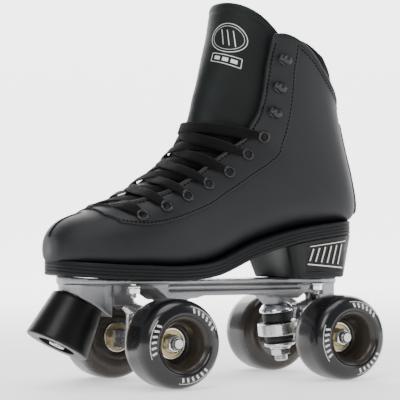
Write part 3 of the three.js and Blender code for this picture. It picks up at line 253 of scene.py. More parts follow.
# Each row: front point, sole or back point, half widths to the left and right, where the widest point
# lies, and how square the front and the back are. The rows fan from the toe round the instep to the top.
STATIONS = [
    (142.0, 101.0, 142.2, 87.8, 5, 5, 0.50, 2.0, 2.4),
    (139.5, 109.0, 139.5, 87.0, 17, 15, 0.54, 2.0, 3.0),
    (130.0, 117.0, 130.0, 85.6, 28, 26, 0.60, 2.1, 3.6),
    (110.0, 124.0, 108.0, 84.0, 39, 38, 0.64, 2.1, 4.0),
    (88.0, 134.0, 84.0, 83.0, 43, 41, 0.66, 2.1, 4.0),
    (67.0, 147.0, 56.0, 82.3, 42, 38, 0.66, 2.1, 4.0),
    (50.0, 160.5, 26.0, 85.5, 38, 34, 0.66, 2.2, 3.6),
    (39.0, 173.0, -8.0, 98.5, 35, 32, 0.66, 2.2, 3.2),
    (33.0, 184.0, -45.0, 108.3, 35, 32, 0.66, 2.2, 3.0),
    (30.0, 193.0, -84.0, 113.8, 35, 33, 0.66, 2.2, 3.0),
    (28.0, 200.0, -104.5, 116.0, 34.5, 34, 0.62, 2.2, 2.8),
    (26.0, 208.0, -111.0, 126.0, 35.5, 35, 0.58, 2.2, 2.5),
    (23.0, 218.0, -108.0, 147.5, 37, 36, 0.55, 2.1, 2.3),
    (19.5, 230.0, -101.5, 172.0, 39, 38, 0.54, 2.1, 2.1),
    (16.0, 242.0, -95.5, 195.0, 40.5, 40, 0.53, 2.1, 2.1),
    (12.5, 254.0, -92.0, 216.0, 42, 41, 0.53, 2.1, 2.1),
    (10.0, 266.0, -90.5, 237.0, 43, 42, 0.53, 2.1, 2.1),
    (8.0, 279.0, -90.0, 257.0, 43.5, 42.5, 0.53, 2.1, 2.1),
]
station_table = np.array(STATIONS)


def clamp(x, low=0.0, high=1.0):
    return min(max(x, low), high)


def lerp(a, b, u):
    return a + (b - a) * u


def along(table, x):
    """Height of a polyline at x."""
    for (x0, y0), (x1, y1) in zip(table, table[1:]):
        if x <= x1:
            return lerp(y0, y1, clamp((x - x0) / (x1 - x0)))
    return table[-1][1]


def spline(p0, p1, p2, p3, u):
    """A smooth curve from p1 to p2, shaped by the points before and after them."""
    return 0.5 * (2 * p1 + (p2 - p0) * u + (2 * p0 - 5 * p1 + 4 * p2 - p3) * u * u
                  + (3 * p1 - p0 - 3 * p2 + p3) * u ** 3)


def station(t):
    last = len(STATIONS) - 1
    t = clamp(t, 0, last - 1e-9)
    i = int(t)
    p1, p2 = station_table[i], station_table[i + 1]
    p0 = 2 * p1 - p2 if i == 0 else station_table[i - 1]
    p3 = 2 * p2 - p1 if i + 2 > last else station_table[i + 2]
    return spline(p0, p1, p2, p3, t - i)


def last_point(t, a):
    """The lasted surface: t from toe to top, a from the front middle round the left to the back."""
    fx, fz, bx, bz, wl, wr, widest, nt, nb = station(t)
    a = (a + math.pi) % (2 * math.pi) - math.pi
    turn = abs(a)
    wide = wl if a >= 0 else wr
    if turn <= math.pi / 2:
        y = clamp(math.sin(turn)) ** (2 / nt)
        q = widest * (1 - clamp(math.cos(turn)) ** (2 / nt))
    else:
        y = clamp(math.cos(turn - math.pi / 2)) ** (2 / nb)
        q = widest + (1 - widest) * clamp(math.sin(turn - math.pi / 2)) ** (2 / nb)
    return at(lerp(fx, bx, q), y * wide * (1 if a >= 0 else -1), lerp(fz, bz, q))


STEP = 0.02


def last_normal(t, a):
    top = len(STATIONS) - 1
    up = last_point(min(t + STEP, top), a) - last_point(max(t - STEP, 0), a)
    around = last_point(t, a + STEP) - last_point(t, a - STEP)
    return around.cross(up).normalized()


def on_last(t, a, lift=0.0):
    """A point that stands lift millimetres off the lasted surface."""
    return last_point(t, a) + last_normal(t, a) * (lift * MM)


THROAT_BASE = 3.1
THROAT_EDGE = [(3.1, 0), (3.35, 0.35), (4, 0.6), (5, 0.75), (6.5, 0.85), (7.76, 0.9), (8.73, 0.91),
               (10.54, 0.95), (11.72, 1.03), (12.8, 1.07), (15.45, 1.12)]
TOP_LINE = [(0, 15.45), (1.12, 15.45), (1.24, 15.75), (1.42, 15.8), (1.55, 15.7), (1.72, 15.5),
            (1.95, 15.1), (2.23, 14.75), (2.6, 14.45), (math.pi, 14.3)]
TOP_ROW = 15.45
UPPER_THICKNESS = 3.0


def smooth_along(table, x, reach):
    """The polyline averaged over a short reach, so that its corners are rounded."""
    return sum(along(table, x + d * reach) * w for d, w in ((-1, 1), (-0.5, 2), (0, 3), (0.5, 2), (1, 1))) / 9


def top_at(a):
    a = abs((a + math.pi) % (2 * math.pi) - math.pi)
    return smooth_along(TOP_LINE, a, 0.1)


def throat_at(t):
    return 0.0 if t <= THROAT_BASE else along(THROAT_EDGE, t)


def new_piece(name, mesh):
    mesh.name = name
    piece = bpy.data.objects.new(name, mesh)
    bpy.context.scene.collection.objects.link(piece)
    return piece


def skin(name, points, faces):
    mesh = bpy.data.meshes.new(name)
    mesh.from_pydata([tuple(p) for p in points], [], faces)
    return new_piece(name, mesh)


def tube(rings, sides, base=0, caps=True, around=False):
    """Faces between rings of points that are listed one after another from base."""
    faces = []
    for i in range(rings if around else rings - 1):
        j = (i + 1) % rings
        for k in range(sides):
            n = (k + 1) % sides
            faces.append((base + i * sides + k, base + i * sides + n, base + j * sides + n,
                          base + j * sides + k))
    if caps:
        faces.append(tuple(base + k for k in range(sides))[::-1])
        faces.append(tuple(base + (rings - 1) * sides + k for k in range(sides)))
    return faces


def solid_from_grids(name, outer, inner, closed_tip=False):
    """A closed skin between two grids of points, joined round their edges."""
    rows, cols = len(outer), len(outer[0])
    base = rows * cols
    faces = []

    def join(a, b, flip):
        loop = (a, b, base + b, base + a)
        faces.append(loop[::-1] if flip else loop)

    for i in range(rows - 1):
        for j in range(cols - 1):
            a, b, c, d = i * cols + j, i * cols + j + 1, (i + 1) * cols + j + 1, (i + 1) * cols + j
            faces += [(a, b, c, d), (base + a, base + d, base + c, base + b)]
    for i in range(rows - 1):
        join(i * cols, (i + 1) * cols, False)
        join(i * cols + cols - 1, (i + 1) * cols + cols - 1, True)
    for i, flip in ((0, True), (rows - 1, False)):
        if not (closed_tip and i == 0):
            for j in range(cols - 1):
                join(i * cols + j, i * cols + j + 1, flip)
    return skin(name, [p for grid in (outer, inner) for row in grid for p in row], faces)


def two_faces(point, rows, cols):
    """The grids of a pad's two faces, from point(row, column, face)."""
    return [[[point(row, col, face) for col in cols] for row in rows] for face in (0, 1)]


def only(piece):
    bpy.ops.object.select_all(action="DESELECT")
    piece.select_set(True)
    bpy.context.view_layer.objects.active = piece


def apply(piece, kind, **settings):
    only(piece)
    modifier = piece.modifiers.new(kind.lower(), kind)
    for key, value in settings.items():
        setattr(modifier, key, value)
    bpy.ops.object.modifier_apply(modifier=modifier.name)


def tidy(piece, merge=1e-6, sharp=None):
    """Merges doubles, points the faces outwards and shades the piece smooth."""
    shape = bmesh.new()
    shape.from_mesh(piece.data)
    bmesh.ops.remove_doubles(shape, verts=shape.verts, dist=merge)
    bmesh.ops.dissolve_degenerate(shape, dist=merge, edges=shape.edges)
    bmesh.ops.recalc_face_normals(shape, faces=shape.faces)
    shape.to_mesh(piece.data)
    shape.free()
    only(piece)
    if sharp is None:
        bpy.ops.object.shade_smooth()
    else:
        bpy.ops.object.shade_smooth_by_angle(angle=math.radians(sharp))


def finish(piece, paint, body="skate", replaced=None):
    """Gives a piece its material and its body. Unless replaced names other CAD nodes, the piece
    stands for the node of its own name, if there is one."""
    piece.data.materials.clear()
    piece.data.materials.append(paint.material)
    own_name = piece.name.split(".")[0]
    if replaced is None:
        replaced = [own_name] if own_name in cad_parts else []
    if replaced:
        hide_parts(*replaced)
    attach(piece, body)
    return piece


boot_leather = leather("boot_leather", "boot_leather", (0.0055, 0.0057, 0.0068), (0.0115, 0.012, 0.0145))

upper_rows = [TOP_ROW * k / 92 for k in range(93)]
UPPER_COLUMNS = 150


def upper_grid(lift):
    grid = []
    for t in upper_rows:
        edge = throat_at(t)
        row = []
        for j in range(UPPER_COLUMNS + 1):
            a = edge + (2 * math.pi - 2 * edge) * j / UPPER_COLUMNS
            row.append(on_last(max(t, 0.12) * top_at(a) / TOP_ROW, a, lift))
        grid.append(row)
    tip = sum(grid[0], Vector()) / len(grid[0])
    grid[0] = [tip] * len(grid[0])
    return grid


upper = solid_from_grids("boot_upper", upper_grid(0), upper_grid(-UPPER_THICKNESS), closed_tip=True)
fill = bmesh.new()
fill.from_mesh(upper.data)
bmesh.ops.remove_doubles(fill, verts=fill.verts, dist=2e-6)
fill.to_mesh(upper.data)
fill.free()
tidy(upper)
finish(upper, boot_leather)

# ---------------------------------------------------------------- facings
# One strip of smooth leather down each side of the throat, glued and sewn over the quarter. Its front
# edge is rolled over a cord, and a row of stitches holds it down behind the roll and along its rear.
FACING_REAR = [(2.85, 0.3), (2.95, 0.61), (3.3, 1.02), (3.9, 1.23), (4.55, 1.29), (5.45, 1.32), (6.54, 1.37),
               (7.6, 1.35), (9.08, 1.27), (10.89, 1.32), (12.13, 1.4), (13.46, 1.47), (15.5, 1.53)]
FACING_LIFT = 1.0
ROLL_WIDTH = 2.6
FACING_BASE = 2.98


def facing_front(t):
    return max(smooth_along(THROAT_EDGE, t, 0.3) if t > 3.6 else throat_at(t), 0.012)


def facing_rear(t):
    return smooth_along(FACING_REAR, t, 0.35) if t > 3.6 else along(FACING_REAR, t)


def facing_lift(share, width):
    """Height over the quarter across the facing: rolled at the front, thinned at the rear."""
    front = share * width
    rear = (1 - share) * width
    half = ROLL_WIDTH / 2
    roll = 1.15 * math.sqrt(clamp(1 - ((front - half) / half) ** 2)) if front < ROLL_WIDTH else 0
    groove = (-0.32 * math.exp(-((front - ROLL_WIDTH - 0.9) / 0.5) ** 2)
              - 0.25 * math.exp(-((rear - 1.8) / 0.45) ** 2))
    return FACING_LIFT * clamp(rear / 0.7) ** 0.5 + roll + groove


facing_leather = leather("facing_leather", "trim_leather", (0.0052, 0.0056, 0.0062), (0.011, 0.012, 0.013),
                         2100, 0.00008, (0.40, 0.52))
FACING_COLUMNS = [0, 0.012, 0.03, 0.05, 0.07, 0.09, 0.11, 0.13, 0.15, 0.165, 0.18, 0.2, 0.22, 0.26, 0.34,
                  0.44, 0.55, 0.66, 0.76, 0.83, 0.87, 0.895, 0.915, 0.935, 0.955, 0.975, 0.99, 1]
facing_rows = [lerp(FACING_BASE, TOP_ROW, (k / 110) ** 1.15) for k in range(111)]
for side, hand in HANDS:
    outer, inner = [], []
    for t in facing_rows:
        a0, a1 = facing_front(t), facing_rear(t)
        width = (on_last(t, side * a0) - on_last(t, side * a1)).length / MM
        top, low = [], []
        for u in FACING_COLUMNS:
            a = side * lerp(a0, a1, u)
            tt = t * top_at(a) / TOP_ROW if t > 14 else t
            top.append(on_last(tt, a, 0.12 + facing_lift(u, width)))
            low.append(on_last(tt, a, 0.03 if u > 0.02 else -1.2))
        outer.append(top)
        inner.append(low)
    facing = solid_from_grids(f"{hand}_facing", outer, inner)
    tidy(facing)
    finish(facing, facing_leather, replaced=[f"{hand}_eyestay"])

# ---------------------------------------------------------------- edge rolls and back strip
# The quarter's top edge is turned in over a cord. A strip of leather is sewn up the back of the shaft
# to carry the pull, and a raised seam closes the vamp over the toe.


def bead(name, path, ups, radii, sides, flat, paint):
    """A closed round strip along a list of points, with the surface's normal and a radius for each."""
    n = len(path)
    points = []
    for i, p in enumerate(path):
        ahead = (path[min(i + 1, n - 1)] - path[max(i - 1, 0)]).normalized()
        side = ups[i].cross(ahead).normalized()
        rise = ahead.cross(side).normalized()
        for k in range(sides):
            turn = k / sides * 2 * math.pi
            points.append(p + (side * math.cos(turn) + rise * flat * math.sin(turn)) * radii[i])
    piece = skin(name, points, tube(n, sides))
    tidy(piece)
    finish(piece, paint)


edge_angles = [lerp(1.14, 2 * math.pi - 1.14, k / 170) for k in range(171)]
bead("top_edge_roll", [on_last(top_at(a) - 0.02, a, -0.9) for a in edge_angles],
     [last_normal(top_at(a), a) for a in edge_angles], [1.75 * MM] * len(edge_angles), 12, 1.0,
     facing_leather)

strip_outer, strip_inner = [], []
STRIP_HALF = 0.42
for k in range(61):
    t = lerp(10.6, 13.75, k / 60)
    rows = [], []
    for j in range(31):
        u = 2 * j / 30 - 1
        edge = clamp((1 - abs(u)) / 0.1) ** 0.5 * clamp((1 - abs(2 * k / 60 - 1)) / 0.05) ** 0.5
        groove = 0.25 * math.exp(-((abs(u) - 0.82) / 0.05) ** 2)
        rows[0].append(on_last(t, math.pi + STRIP_HALF * u, 0.1 + 1.7 * edge - groove * edge))
        rows[1].append(on_last(t, math.pi + STRIP_HALF * u, 0.03))
    strip_outer.append(rows[0])
    strip_inner.append(rows[1])
strip = solid_from_grids("back_strip", strip_outer, strip_inner)
tidy(strip)
finish(strip, facing_leather, replaced=["backstay"])

toe_rows = [lerp(0.35, 2.75, k / 50) for k in range(51)]
bead("toe_seam", [on_last(t, 0, 0.1) for t in toe_rows], [last_normal(t, 0) for t in toe_rows],
     [1.0 * MM * clamp(min(k, 50 - k) / 4, 0.15) for k in range(51)], 10, 0.55, boot_leather)

# ---------------------------------------------------------------- stitching
# Bonded black thread. Each stitch dips into the leather at both ends, so that it reads as a short dash.
thread = worn("thread", "trim_leather", (0.0008, 0.0008, 0.0008), (0.003, 0.003, 0.003), (9000, 1), (0.95,),
              (0.6, 0.00005), Specular_IOR_Level=0.05)
# each ring of a stitch: place along it, share of the radius, and height over the line
STITCH_RINGS = ((-0.5, 0.35, -0.55), (-0.3, 0.9, -0.05), (0, 1.0, 0.1), (0.3, 0.9, -0.05), (0.5, 0.35, -0.55))
STITCH_SIDES = 6


def spaced(points, pitch):
    """Points and directions at an even pitch along a polyline."""
    out, left = [], pitch / 2
    for p, q in zip(points, points[1:]):
        length = (q - p).length
        while left < length:
            out.append((p.lerp(q, left / length), (q - p).normalized()))
            left += pitch
        left -= length
    return out


def stitches(name, route, lift, pitch=2.9, length=2.1, radius=0.46):
    """A row of stitches along a list of (t, a), lift millimetres off the lasted surface."""
    fine = []
    for (t0, a0), (t1, a1) in zip(route, route[1:]):
        fine += [(lerp(t0, t1, k / 12), lerp(a0, a1, k / 12)) for k in range(12)]
    fine.append(route[-1])
    line = [on_last(t, a, lift) for t, a in fine]
    points, faces = [], []
    for middle, ahead in spaced(line, pitch * MM):
        nearest = min(range(len(line)), key=lambda k: (line[k] - middle).length_squared)
        up = last_normal(*fine[nearest])
        side = up.cross(ahead).normalized()
        faces += tube(len(STITCH_RINGS), STITCH_SIDES, len(points))
        for place, wide, dip in STITCH_RINGS:
            centre = middle + ahead * (place * length * MM) + up * (dip * radius * MM)
            for k in range(STITCH_SIDES):
                turn = k / STITCH_SIDES * 2 * math.pi
                points.append(centre + (side * math.cos(turn) + up * math.sin(turn)) * (wide * radius * MM))
    piece = skin(name, points, faces)
    tidy(piece, 1e-7)
    finish(piece, thread)


def facing_line(from_front, from_rear, t0, t1, side):
    """(t, a) down the facing at a distance in millimetres from its front or its rear edge."""
    route = []
    for k in range(61):
        t = lerp(t0, t1, k / 60)
        a0, a1 = facing_front(t), facing_rear(t)
        width = (on_last(t, side * a0) - on_last(t, side * a1)).length / MM
        share = from_front / width if from_front is not None else 1 - from_rear / width
        a = lerp(a0, a1, share)
        route.append((t * top_at(a) / TOP_ROW if t > 14 else t, side * a))
    return route


for side, hand in HANDS:
    stitches(f"{hand}_facing_front_stitches", facing_line(ROLL_WIDTH + 0.9, None, 15.1, 3.5, side), 0.95)
    stitches(f"{hand}_facing_rear_stitches", facing_line(None, 1.8, 15.3, 3.05, side), 0.95)
    top_stitch = [(top_at(a) - 0.27, side * a) for a in [lerp(1.2, 2.7, k / 40) for k in range(41)]]
    stitches(f"{hand}_top_stitches", top_stitch, 0.12)
    stitches(f"{hand}_back_strip_stitches", [(lerp(10.75, 13.62, k / 30), math.pi + side * STRIP_HALF * 0.82)
                                             for k in range(31)], 1.5)
    stitches(f"{hand}_toe_stitches", [(lerp(0.45, 2.7, k / 20), side * 0.055 * (1 + 2.2 * math.exp(-k / 3)))
                                      for k in range(21)], 0.1, 2.4, 1.8, 0.3)

# ---------------------------------------------------------------- tongue
# A foam pad between smooth leather and lining, bound round its edge. It lies behind the lace and stands
# above the shaft, where its top is rounded off.
TONGUE_FOOT, TONGUE_HEAD, TONGUE_TOP = 2.75, 16.9, 17.0
TONGUE_EDGE = [(2.7, 0.4), (3.1, 0.58), (3.6, 0.7), (4.2, 0.8), (5, 0.9), (6, 1), (8, 1.1), (10, 1.18),
               (12, 1.24), (17, 1.24)]
TONGUE_THICKNESS = 5.5


def tongue_point(s, u, depth):
    """s runs up the tongue from 0 to 1, u across it from -1 to 1, depth back from its face."""
    t = lerp(TONGUE_FOOT, TONGUE_TOP, s)
    a = u * smooth_along(TONGUE_EDGE, t, 0.4)
    edge = abs(u)
    drop = (t - 14) / 3 * (1.1 * edge ** 3) if t > 14 else 0
    inside = clamp((t - 3.6) / 1.2)
    crown = 2.1 * inside * max(1 - (a / max(throat_at(t), 0.35)) ** 2, 0) + 0.9 * (inside - 1)
    bound = 1 - 0.85 * edge ** 5
    lip = clamp((TONGUE_TOP - t) / 0.28) ** 0.5
    face = -UPPER_THICKNESS - 1.2 + crown
    middle = face - TONGUE_THICKNESS / 2
    half = TONGUE_THICKNESS / 2 * bound * max(lip, 0.04)
    seam = 0.45 * math.exp(-((edge - 0.9) / 0.022) ** 2)
    if edge < 0.9:
        seam += 0.45 * math.exp(-((t - 16.42) / 0.07) ** 2)
    lift = middle + half - seam if depth == 0 else middle - half
    return on_last(min(t, TONGUE_HEAD) - drop, a, lift)


tongue_leather = leather("tongue_leather", "tongue_leather", (0.0060, 0.0072, 0.0070),
                         (0.0125, 0.0150, 0.0145), 2600, 0.00006, (0.38, 0.50), gloss=0.12)
tongue_rows = [k / 120 for k in range(113)] + [lerp(112 / 120, 1, k / 14) for k in range(1, 15)]
tongue_cols = [math.sin(lerp(-math.pi / 2, math.pi / 2, j / 64)) * 0.4 + lerp(-1, 1, j / 64) * 0.6
               for j in range(65)]
tongue = solid_from_grids("tongue", *two_faces(tongue_point, tongue_rows, tongue_cols))
tidy(tongue)
finish(tongue, tongue_leather)

# a plain printed emblem on the tongue: a ring, three rising bars and a slotted bar, in silver ink
silver_ink = worn("silver_ink", "tongue_leather", (0.45, 0.46, 0.46), (0.72, 0.73, 0.73), (1800, 3),
                  (0.3, 0.2), (0.3, 0.00003), Metallic=0.3)


def print_strokes(name, strokes, place, paint, thickness, body="skate"):
    """Flat strokes on a curved surface. A stroke is a list of (x, y) and a width, in millimetres, and
    place turns (x, y, lift) into a point."""
    points, faces = [], []
    for line, width in strokes:
        closed = line[0] == line[-1]
        n = len(line)
        faces += tube(n, 4, len(points), caps=not closed)
        for i, (x, y) in enumerate(line):
            before = line[i - 1] if i else (line[-2] if closed else line[0])
            after = line[i + 1] if i + 1 < n else (line[1] if closed else line[-1])
            dx, dy = after[0] - before[0], after[1] - before[1]
            d = math.hypot(dx, dy) or 1
            nx, ny = -dy / d * width / 2, dx / d * width / 2
            for sx, lift in ((1, -0.1), (1, thickness), (-1, thickness), (-1, -0.1)):
                points.append(place(x + nx * sx, y + ny * sx, lift))
    piece = skin(name, points, faces)
    tidy(piece, 1e-7, sharp=40)
    finish(piece, paint, body)


def arc(cx, cy, rx, ry, start, end, steps=28):
    return [(cx + rx * math.cos(lerp(start, end, k / steps)), cy + ry * math.sin(lerp(start, end, k / steps)))
            for k in range(steps + 1)]


def run(x0, y0, x1, y1, steps=8):
    return [(lerp(x0, x1, k / steps), lerp(y0, y1, k / steps)) for k in range(steps + 1)]


def ring(cx, cy, rx, ry):
    loop = arc(cx, cy, rx, ry, 0, 2 * math.pi, 40)
    loop[-1] = loop[0]
    return loop


def tongue_place(x, y, lift):
    t = 14.35 + y / 12.5
    a = 0.44 - x / 38.0
    u = a / smooth_along(TONGUE_EDGE, t, 0.4)
    s = (t - TONGUE_FOOT) / (TONGUE_TOP - TONGUE_FOOT)
    return tongue_point(s, u, 0) + last_normal(min(t, TONGUE_HEAD), a) * (lift * MM)


emblem = [(ring(0.5, 6.5, 13.5, 10.5), 0.5), (ring(0.5, 6.5, 11.6, 8.6), 0.3)]
emblem += [(run(-6.5 + 4.5 * k, 1, -2.5 + 4.5 * k, 12), 0.6) for k in range(3)]
emblem += [(run(-12, y, 9, y, 20), 0.5) for y in (-6.2, -12.4)]
emblem += [(run(x, -12.4, x, -6.2, 4), 0.5) for x in (-12, 9)]
emblem += [(run(-9.6 + 6 * k, -9.3, -5.4 + 6 * k, -9.3, 6), 2.6) for k in range(3)]
print_strokes("tongue_emblem", emblem, tongue_place, silver_ink, 0.1)

# ---------------------------------------------------------------- collar padding and inner sole
# Foam under black knit inside the shaft; it swells over the top edge at the back. The inner sole is
# felt on board, loose in the foot.
knit = Finish("collar_knit", "padding_fabric")
knit_place = knit.place()
knit_x, knit_y, knit_z = knit.parts(knit_place)
knit_height = (knit_z * 5200).wave() * ((knit_x + knit_y) * 4600).wave()
knit_fluff = knit.noise(2600, 3)
knit.shade(Base_Color=knit.blend(knit_fluff, (0.0015, 0.0015, 0.0016), (0.006, 0.006, 0.0065)),
           Roughness=0.95, Sheen_Weight=0.05, Specular_IOR_Level=0.1,
           Normal=knit.bump(knit_height * 0.5 + knit_fluff, 0.6, 0.0002))

COLLAR_LOW = -3.4


def collar_point(s, angle, face):
    """s runs up the pad, from its lower seam over the rounded top to the leather's edge."""
    side_on = clamp((1.64 - abs(angle - math.pi)) / 0.55)
    stand = lerp(0.1, 0.72, side_on)
    t = top_at(angle) + lerp(COLLAR_LOW, stand, s)
    round_top = math.sqrt(clamp(1 - clamp((s - 0.82) / 0.18) ** 2))
    round_low = math.sqrt(clamp(s / 0.12))
    tuck = clamp((angle - 1.5) / 0.12) ** 0.5 * clamp((2 * math.pi - 1.5 - angle) / 0.12) ** 0.5
    swell = 5.2 * max(min(round_top, round_low), 0.05) * max(tuck, 0.05)
    crease = 0.35 * math.sin(angle * 23 + 3 * math.sin(angle * 3)) * math.sin(s * math.pi) ** 2
    lift = -UPPER_THICKNESS - 0.8
    if s > 0.8:
        lift += 0.7 * (s - 0.8) / 0.2
    return on_last(t, angle, lift if face == 0 else lift - swell + crease)


collar_rows = [math.sin(k / 26 * math.pi / 2) if k > 13 else k / 26 * 1.414 for k in range(27)]
collar_rows = sorted(set(round(clamp(s), 4) for s in collar_rows))
collar_angles = [lerp(1.5, 2 * math.pi - 1.5, j / 120) for j in range(121)]
collar = solid_from_grids("collar_padding", *two_faces(collar_point, collar_rows, collar_angles))
tidy(collar)
finish(collar, knit)


def node_copy(node):
    """The CAD node's own shape as a new piece, with its doubles merged."""
    piece = new_piece(node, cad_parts[node].data.copy())
    tidy(piece, 2e-6)
    return piece


felt = worn("insole_felt", "insole_fabric", (0.03, 0.03, 0.032), (0.075, 0.075, 0.078), (3200, 4), (0.92,),
            (0.5, 0.0002))
insole = node_copy("insole")
only(insole)
bpy.ops.object.mode_set(mode="EDIT")
bpy.ops.mesh.select_all(action="SELECT")
bpy.ops.mesh.dissolve_limited(angle_limit=math.radians(1))
bpy.ops.object.mode_set(mode="OBJECT")
apply(insole, "BEVEL", width=0.9 * MM, segments=3, limit_method="ANGLE", angle_limit=math.radians(40))
tidy(insole, sharp=35)
finish(insole, felt)

# ---------------------------------------------------------------- eyelets and hooks
# Seven pressed eyelets down each facing, black with the paint worn off their rims, and three riveted
# hooks above them, plated dark grey. A near-black disc in each eyelet is painted shade for its hole.
EYELETS = [(10.46, 1.11), (8.57, 1.08), (7.43, 1.14), (6.51, 1.09), (5.61, 1.04), (4.79, 1.02), (3.98, 1.01)]
HOOKS = [(14.6, 1.31), (13.26, 1.26), (12.08, 1.21)]


def rounded(outline, radius, steps=3):
    """A closed outline with its corners rounded. radius is one value or one for each corner."""
    out = []
    n = len(outline)
    for i, (x, y) in enumerate(outline):
        r = radius[i] if isinstance(radius, (list, tuple)) else radius
        p, a, b = Vector((x, y)), Vector(outline[i - 1]), Vector(outline[(i + 1) % n])
        if r <= 0:
            out.append((x, y))
            continue
        da, db = (a - p), (b - p)
        cut = min(r, da.length * 0.45, db.length * 0.45)
        start, end = p + da.normalized() * cut, p + db.normalized() * cut
        for k in range(steps + 1):
            u = k / steps
            q = start * (1 - u) ** 2 + p * 2 * u * (1 - u) + end * u ** 2
            out.append((q.x, q.y))
    return out


def turned(name, foot, aim, outline, steps=64):
    """A round piece: an outline of (radius, height) in millimetres spun about a line from foot to aim."""
    mesh = bpy.data.meshes.new(name)
    n = len(outline)
    mesh.from_pydata([(max(r, 0) * MM, 0, h * MM) for r, h in outline], [(k, (k + 1) % n) for k in range(n)],
                     [])
    piece = new_piece(name, mesh)
    apply(piece, "SCREW", axis="Z", steps=steps, render_steps=steps, use_merge_vertices=True,
          merge_threshold=1e-6)
    turn = (aim - foot).to_track_quat("Z", "Y").to_matrix().to_4x4()
    piece.data.transform(Matrix.Translation(foot) @ turn)
    return piece


def rolled_thread(radius, start, stop, pitch=1.25):
    """The outline of a rolled thread between two heights."""
    turns = max(1, int((stop - start) / pitch))
    outline = []
    for k in range(turns):
        low = start + (stop - start) * k / turns
        high = start + (stop - start) * (k + 1) / turns
        outline += [(radius - 0.5, low), (radius, lerp(low, high, 0.4)), (radius, lerp(low, high, 0.6))]
    return outline + [(radius - 0.5, stop)]


def joined(name, pieces):
    only(pieces[0])
    for p in pieces:
        p.select_set(True)
    bpy.ops.object.join()
    piece = bpy.context.view_layer.objects.active
    piece.name = piece.data.name = name
    return piece


black_enamel = worn("black_enamel", "trim_leather", (0.008, 0.008, 0.0085), (0.05, 0.05, 0.052), (700, 4),
                    (0.16, 0.2), (0.15, 0.00005), Metallic=0.7)
gunmetal = worn("gunmetal", "trim_leather", (0.018, 0.018, 0.020), (0.055, 0.055, 0.060), (1500, 3),
                (0.28, 0.2), (0.2, 0.00005), Metallic=0.85)
# near black, for the discs in the eyelets: painted shade where the holes would be dark
painted_hole_shade = worn("painted_hole_shade", "trim_leather", (0.001, 0.001, 0.001), (0.004, 0.004, 0.004), (2500, 2),
                 (0.9,), (0.3, 0.0001))

EYELET_OUTLINE = rounded([(2.55, 0.2), (2.75, 1.35), (3.6, 1.7), (4.5, 1.2), (4.75, 0.2), (4.75, -0.6),
                          (2.55, -0.6)], [0.3, 0.5, 0.6, 0.5, 0.2, 0, 0], 4)
for side, hand in HANDS:
    rims, hole_shade_discs, heads = [], [], []
    for t, a in EYELETS:
        foot = on_last(t, side * a, FACING_LIFT)
        rims.append(turned("rim", foot, foot + last_normal(t, side * a), EYELET_OUTLINE, 40))
        # a disc inside each ring: painted shade standing in for the dark of the hole, which the facing
        # doesn't have
        hole_shade_discs.append(turned("hole", foot, foot + last_normal(t, side * a),
                             [(0, 0.35), (2.7, 0.35), (2.7, -0.2), (0, -0.2)], 20))
    rims = joined(f"{hand}_eyelets", rims)
    tidy(rims, 1e-7, sharp=50)
    finish(rims, black_enamel)
    hole_shade_discs = joined(f"{hand}_eyelet_holes", hole_shade_discs)
    tidy(hole_shade_discs, 1e-7, sharp=50)
    finish(hole_shade_discs, painted_hole_shade)
    for t, a in HOOKS:
        foot = on_last(t, side * a, FACING_LIFT - 0.2)
        out = last_normal(t, side * a)
        seat = [(0, 0), (4.4, 0), (4.4, 1.0), (4.0, 1.25), (4.2, 1.5), (4.0, 2.2), (3.0, 2.7), (0, 2.7)]
        heads.append(turned("seat", foot, foot + out, rounded(seat, [0, 0, 0.2, 0.2, 0.2, 0.3, 0.3, 0], 3),
                            40))
        neck = [(0, 2.4), (2.5, 2.4), (2.1, 3.2), (2.1, 4.6), (2.6, 5.4), (0, 5.4)]
        heads.append(turned("neck", foot, foot + out, neck, 32))
        dome = [(0, 4.2), (2.4, 4.2)] + [(3.7 * math.cos(k / 10 * math.pi / 2),
                                          5.0 + 2.7 * math.sin(k / 10 * math.pi / 2)) for k in range(11)]
        front = (last_point(t, side * (a - 0.1)) - last_point(t, side * a)).normalized()
        heads.append(turned("crown", foot - front * 1.0 * MM, foot - front * 1.0 * MM + out, dome, 40))
        lobe = [(0, 3.6), (2.0, 3.6)] + rolled_thread(2.5, 3.8, 6.2, 0.9) + [(1.4, 6.7), (0, 6.7)]
        heads.append(turned("lobe", foot + front * 3.0 * MM, foot + front * 3.0 * MM + out, lobe, 32))
    heads = joined(f"{hand}_hooks", heads)
    tidy(heads, 1e-7, sharp=50)
    finish(heads, gunmetal)

# ---------------------------------------------------------------- lace
# One flat woven lace. It comes up through each eyelet, crosses the tongue and goes behind the other facing
# to the next eyelet above; it lies straight across at the bottom and the top. Only the passes are drawn.
LACE_WIDTH = 8.2
LACE_THICKNESS = 1.1
weave = Finish("lace_weave", "lace_fabric")
weave_u, weave_v, weave_w = weave.parts(weave.grid())
weave_rib = (weave_u * 5200 + weave_v * 3000).wave() * (weave_u * 5200 - weave_v * 3000).wave()
weave_soft = weave.noise(2500, 3)
weave.shade(Base_Color=weave.blend(weave_rib * 0.4 + weave_soft * 0.5, (0.0006, 0.0006, 0.0006),
                                   (0.0030, 0.0030, 0.0029)), Roughness=0.9, Sheen_Weight=0.1,
            Specular_IOR_Level=0.08, Normal=weave.bump(weave_rib * 0.5 + weave_soft * 0.5, 0.7, 0.00022))
LACE_SECTION = [(1, 0), (0.93, 0.7), (0.7, 1), (0, 0.9), (-0.7, 1), (-0.93, 0.7), (-1, 0), (-0.93, -0.7),
                (-0.7, -1), (0, -0.9), (0.7, -1), (0.93, -0.7)]


